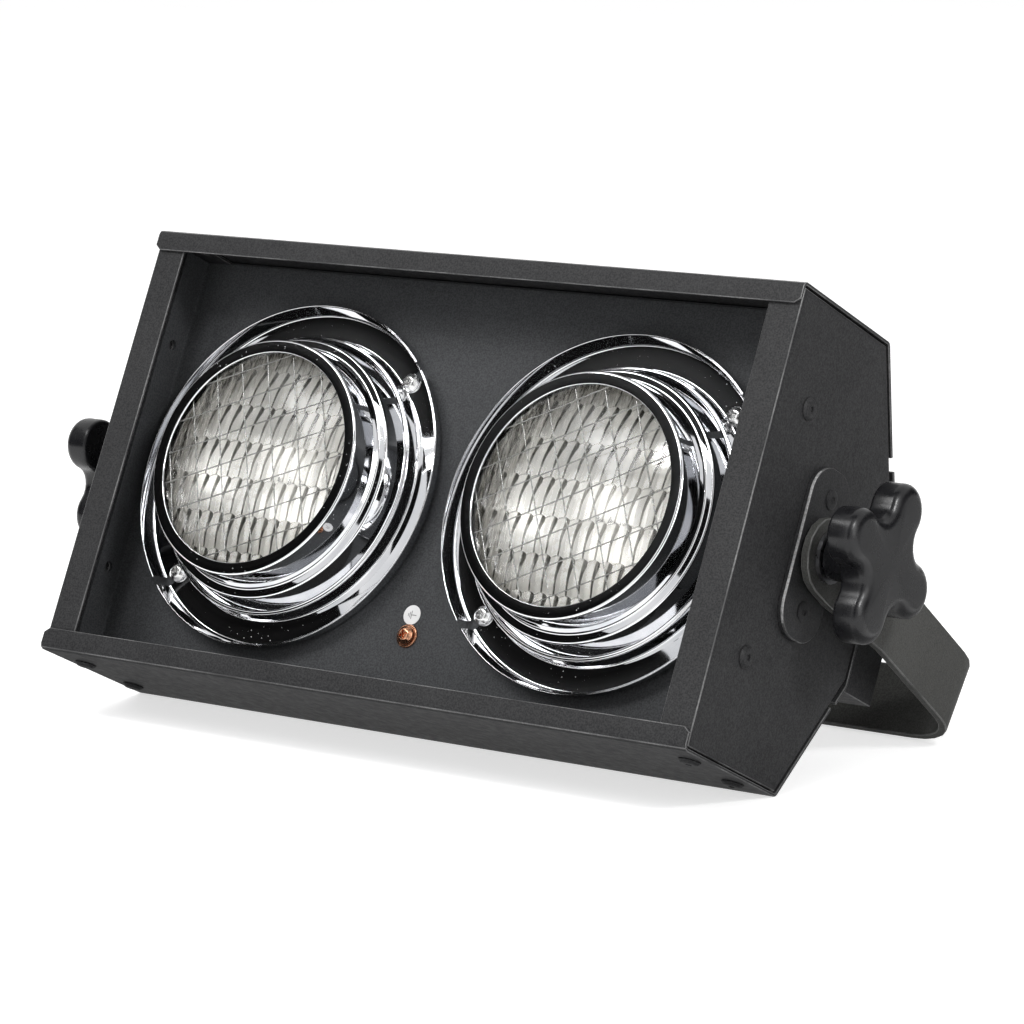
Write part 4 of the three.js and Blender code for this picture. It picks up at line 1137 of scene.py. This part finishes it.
def plate_body(sign):
    """A thick plate, its outer edge rounded."""
    rings = [plate_ring(sign * PLATE_INNER, 0), plate_ring(sign * (PLATE_OUTER - PLATE_HIGHLIGHT_BAND), 0)]
    for k in range(PLATE_EDGE_STEPS + 1):
        angle = math.pi / 2 * k / PLATE_EDGE_STEPS
        x = PLATE_OUTER - PLATE_EDGE * (1 - math.sin(angle))
        rings.append(plate_ring(sign * x, PLATE_EDGE * (1 - math.cos(angle))))
    return loft(rings, (sign * PLATE_INNER, *PIVOT[1:]), (sign * PLATE_OUTER, *PIVOT[1:]))


def paint_edge_highlight(obj):
    """Gives the faces round a plate's edge a painted highlight, a brighter one where they face the front."""
    forward = HEAD.to_3x3().normalized() @ Vector((0, -1, 0))
    for look in ("plate_front_highlight", "housing_edge_highlight"):
        obj.data.materials.append(LOOKS[look])
    for face in obj.data.polygons:
        proud = abs(face.center.x) > (PLATE_OUTER - PLATE_HIGHLIGHT_BAND) * MM
        if proud and face.normal.dot(forward) > FACES_FORWARD:
            face.material_index = 1
        elif proud and abs(face.normal.x) < FACES_OUT:
            face.material_index = 2


def pivot_plate(side):
    """A thick plate with a painted highlight round its edge and two low rivet heads; only the right one's
    hole goes through.
    """
    sign = LAMP_SIDES[side]
    node = "pivot_plate_" + side
    obj = piece(node + "_pressed", *plate_body(sign), crease=PLATE_CREASE)
    half = PLATE_HOLE / 2
    low, high = [v - half for v in PIVOT[1:]], [v + half for v in PIVOT[1:]]
    cut(obj, box_part((sign * PLATE_INNER - OVERRUN, *low), (sign * PLATE_OUTER + OVERRUN, *high)))
    smooth(obj.data, PLATE_CREASE)
    dress(obj, "head", LOOKS["housing_paint"], "housing_paint", node)
    paint_edge_highlight(obj)
    for level, up in (("upper", 1), ("lower", -1)):
        point = (sign * PLATE_OUTER, PIVOT[1], PIVOT[2] + up * PLATE_RIVET_RISE)
        part = rivet_head(PLATE_RIVET_RADIUS, PLATE_RIVET_DOME)
        head = piece(node + "_rivet_" + level, *carried(part, towards((sign, 0, 0), point)))
        dress(head, "head", LOOKS["housing_paint"], "housing_paint")


# Knobs
def lobed(inset):
    """Outline of a knob in its plane, set in from its widest size."""
    apart = math.pi / LOBES
    touch = LOBE_RADIUS + WAIST_RADIUS
    bow = math.asin(LOBE_OFFSET * math.sin(apart) / touch)
    waist_offset = LOBE_OFFSET * math.cos(apart) + touch * math.cos(bow)
    half = apart + bow
    points = []
    for lobe in range(LOBES):
        turn = math.radians(LOBE_TURN) + 2 * apart * lobe
        points += arc(LOBE_OFFSET, turn, LOBE_RADIUS - inset, turn - half, turn + half, LOBE_STEPS)
        inward = turn + apart + math.pi
        ends = inward + bow, inward - bow
        waist = arc(waist_offset, turn + apart, WAIST_RADIUS + inset, *ends, WAIST_STEPS)
        points += waist[1:-1]
    return points


def arc(offset, place, radius, start, end, steps):
    points = []
    for i in range(steps + 1):
        angle = start + (end - start) * i / steps
        points.append((offset * math.cos(place) + radius * math.cos(angle),
                       offset * math.sin(place) + radius * math.sin(angle)))
    return points


def loft(rings, start, end):
    """Skin over rings with as many points each, closed by a point at each end."""
    count = len(rings[0])
    verts = [start] + [p for ring in rings for p in ring] + [end]
    faces = [[0, 1 + (k + 1) % count, 1 + k] for k in range(count)]
    for i in range(len(rings) - 1):
        a, b = 1 + i * count, 1 + (i + 1) * count
        faces += [[a + k, a + (k + 1) % count, b + (k + 1) % count, b + k] for k in range(count)]
    last = 1 + (len(rings) - 1) * count
    faces += [[last + k, last + (k + 1) % count, len(verts) - 1] for k in range(count)]
    return verts, faces


def knob_rings():
    """(inset, scale, x) of each ring from the knob's back to its front."""
    rings = []
    for k in range(KNOB_BACK_STEPS + 1):
        angle = math.pi / 2 * k / KNOB_BACK_STEPS
        x = KNOB_BACK + KNOB_BACK_EDGE * (1 - math.cos(angle))
        rings.append((KNOB_BACK_EDGE * (1 - math.sin(angle)), 1, x))
    for k in range(KNOB_EDGE_STEPS + 1):
        angle = math.pi / 2 * k / KNOB_EDGE_STEPS
        x = KNOB_FRONT - KNOB_ROUND * (1 - math.sin(angle)) - KNOB_CROWN
        rings.append((KNOB_EDGE * (1 - math.cos(angle)), 1, x))
    for k in range(1, KNOB_CROWN_STEPS):
        scale = 1 - k / KNOB_CROWN_STEPS
        rings.append((KNOB_EDGE, scale, KNOB_FRONT - KNOB_CROWN * scale ** 2))
    return rings


def knob(side):
    """Four lobes on a hub with a bore."""
    sign = LAMP_SIDES[side]
    rings = []
    for inset, scale, x in knob_rings():
        rings.append([(sign * x, PIVOT[1] + scale * a, PIVOT[2] + scale * b) for a, b in lobed(inset)])
    body = loft(rings, (sign * KNOB_BACK, *PIVOT[1:]), (sign * KNOB_FRONT, *PIVOT[1:]))
    hub = lathe([tuple(p) for p in rounded(HUB_FOLDS)], HUB_SIDES, closed=True)
    hub = carried(hub, towards((sign, 0, 0), (sign * HUB_BACK, *PIVOT[1:])))
    obj = piece("knob_" + side + "_grip", *joined([body, hub]), crease=KNOB_CREASE)
    return dress(obj, "knob_" + side, LOOKS["knob_plastic"], "knob_plastic", "knob_" + side)


add_camera()
dress_cad_nodes()
for sheet_node, edge_width in EDGES.items():
    skin(sheet_node, edge_width)
for lamp_side in LAMP_SIDES:
    bezel(lamp_side)
    guard(lamp_side)
    lens(lamp_side)
    reflector(lamp_side)
side_rivets()
shell_rivets()
bezel_screws()
earth_point()
earth_sign()
for knob_side in LAMP_SIDES:
    pivot_plate(knob_side)
    knob(knob_side)
add_floor()
add_light()
bpy.context.scene.view_settings.view_transform = "Standard"
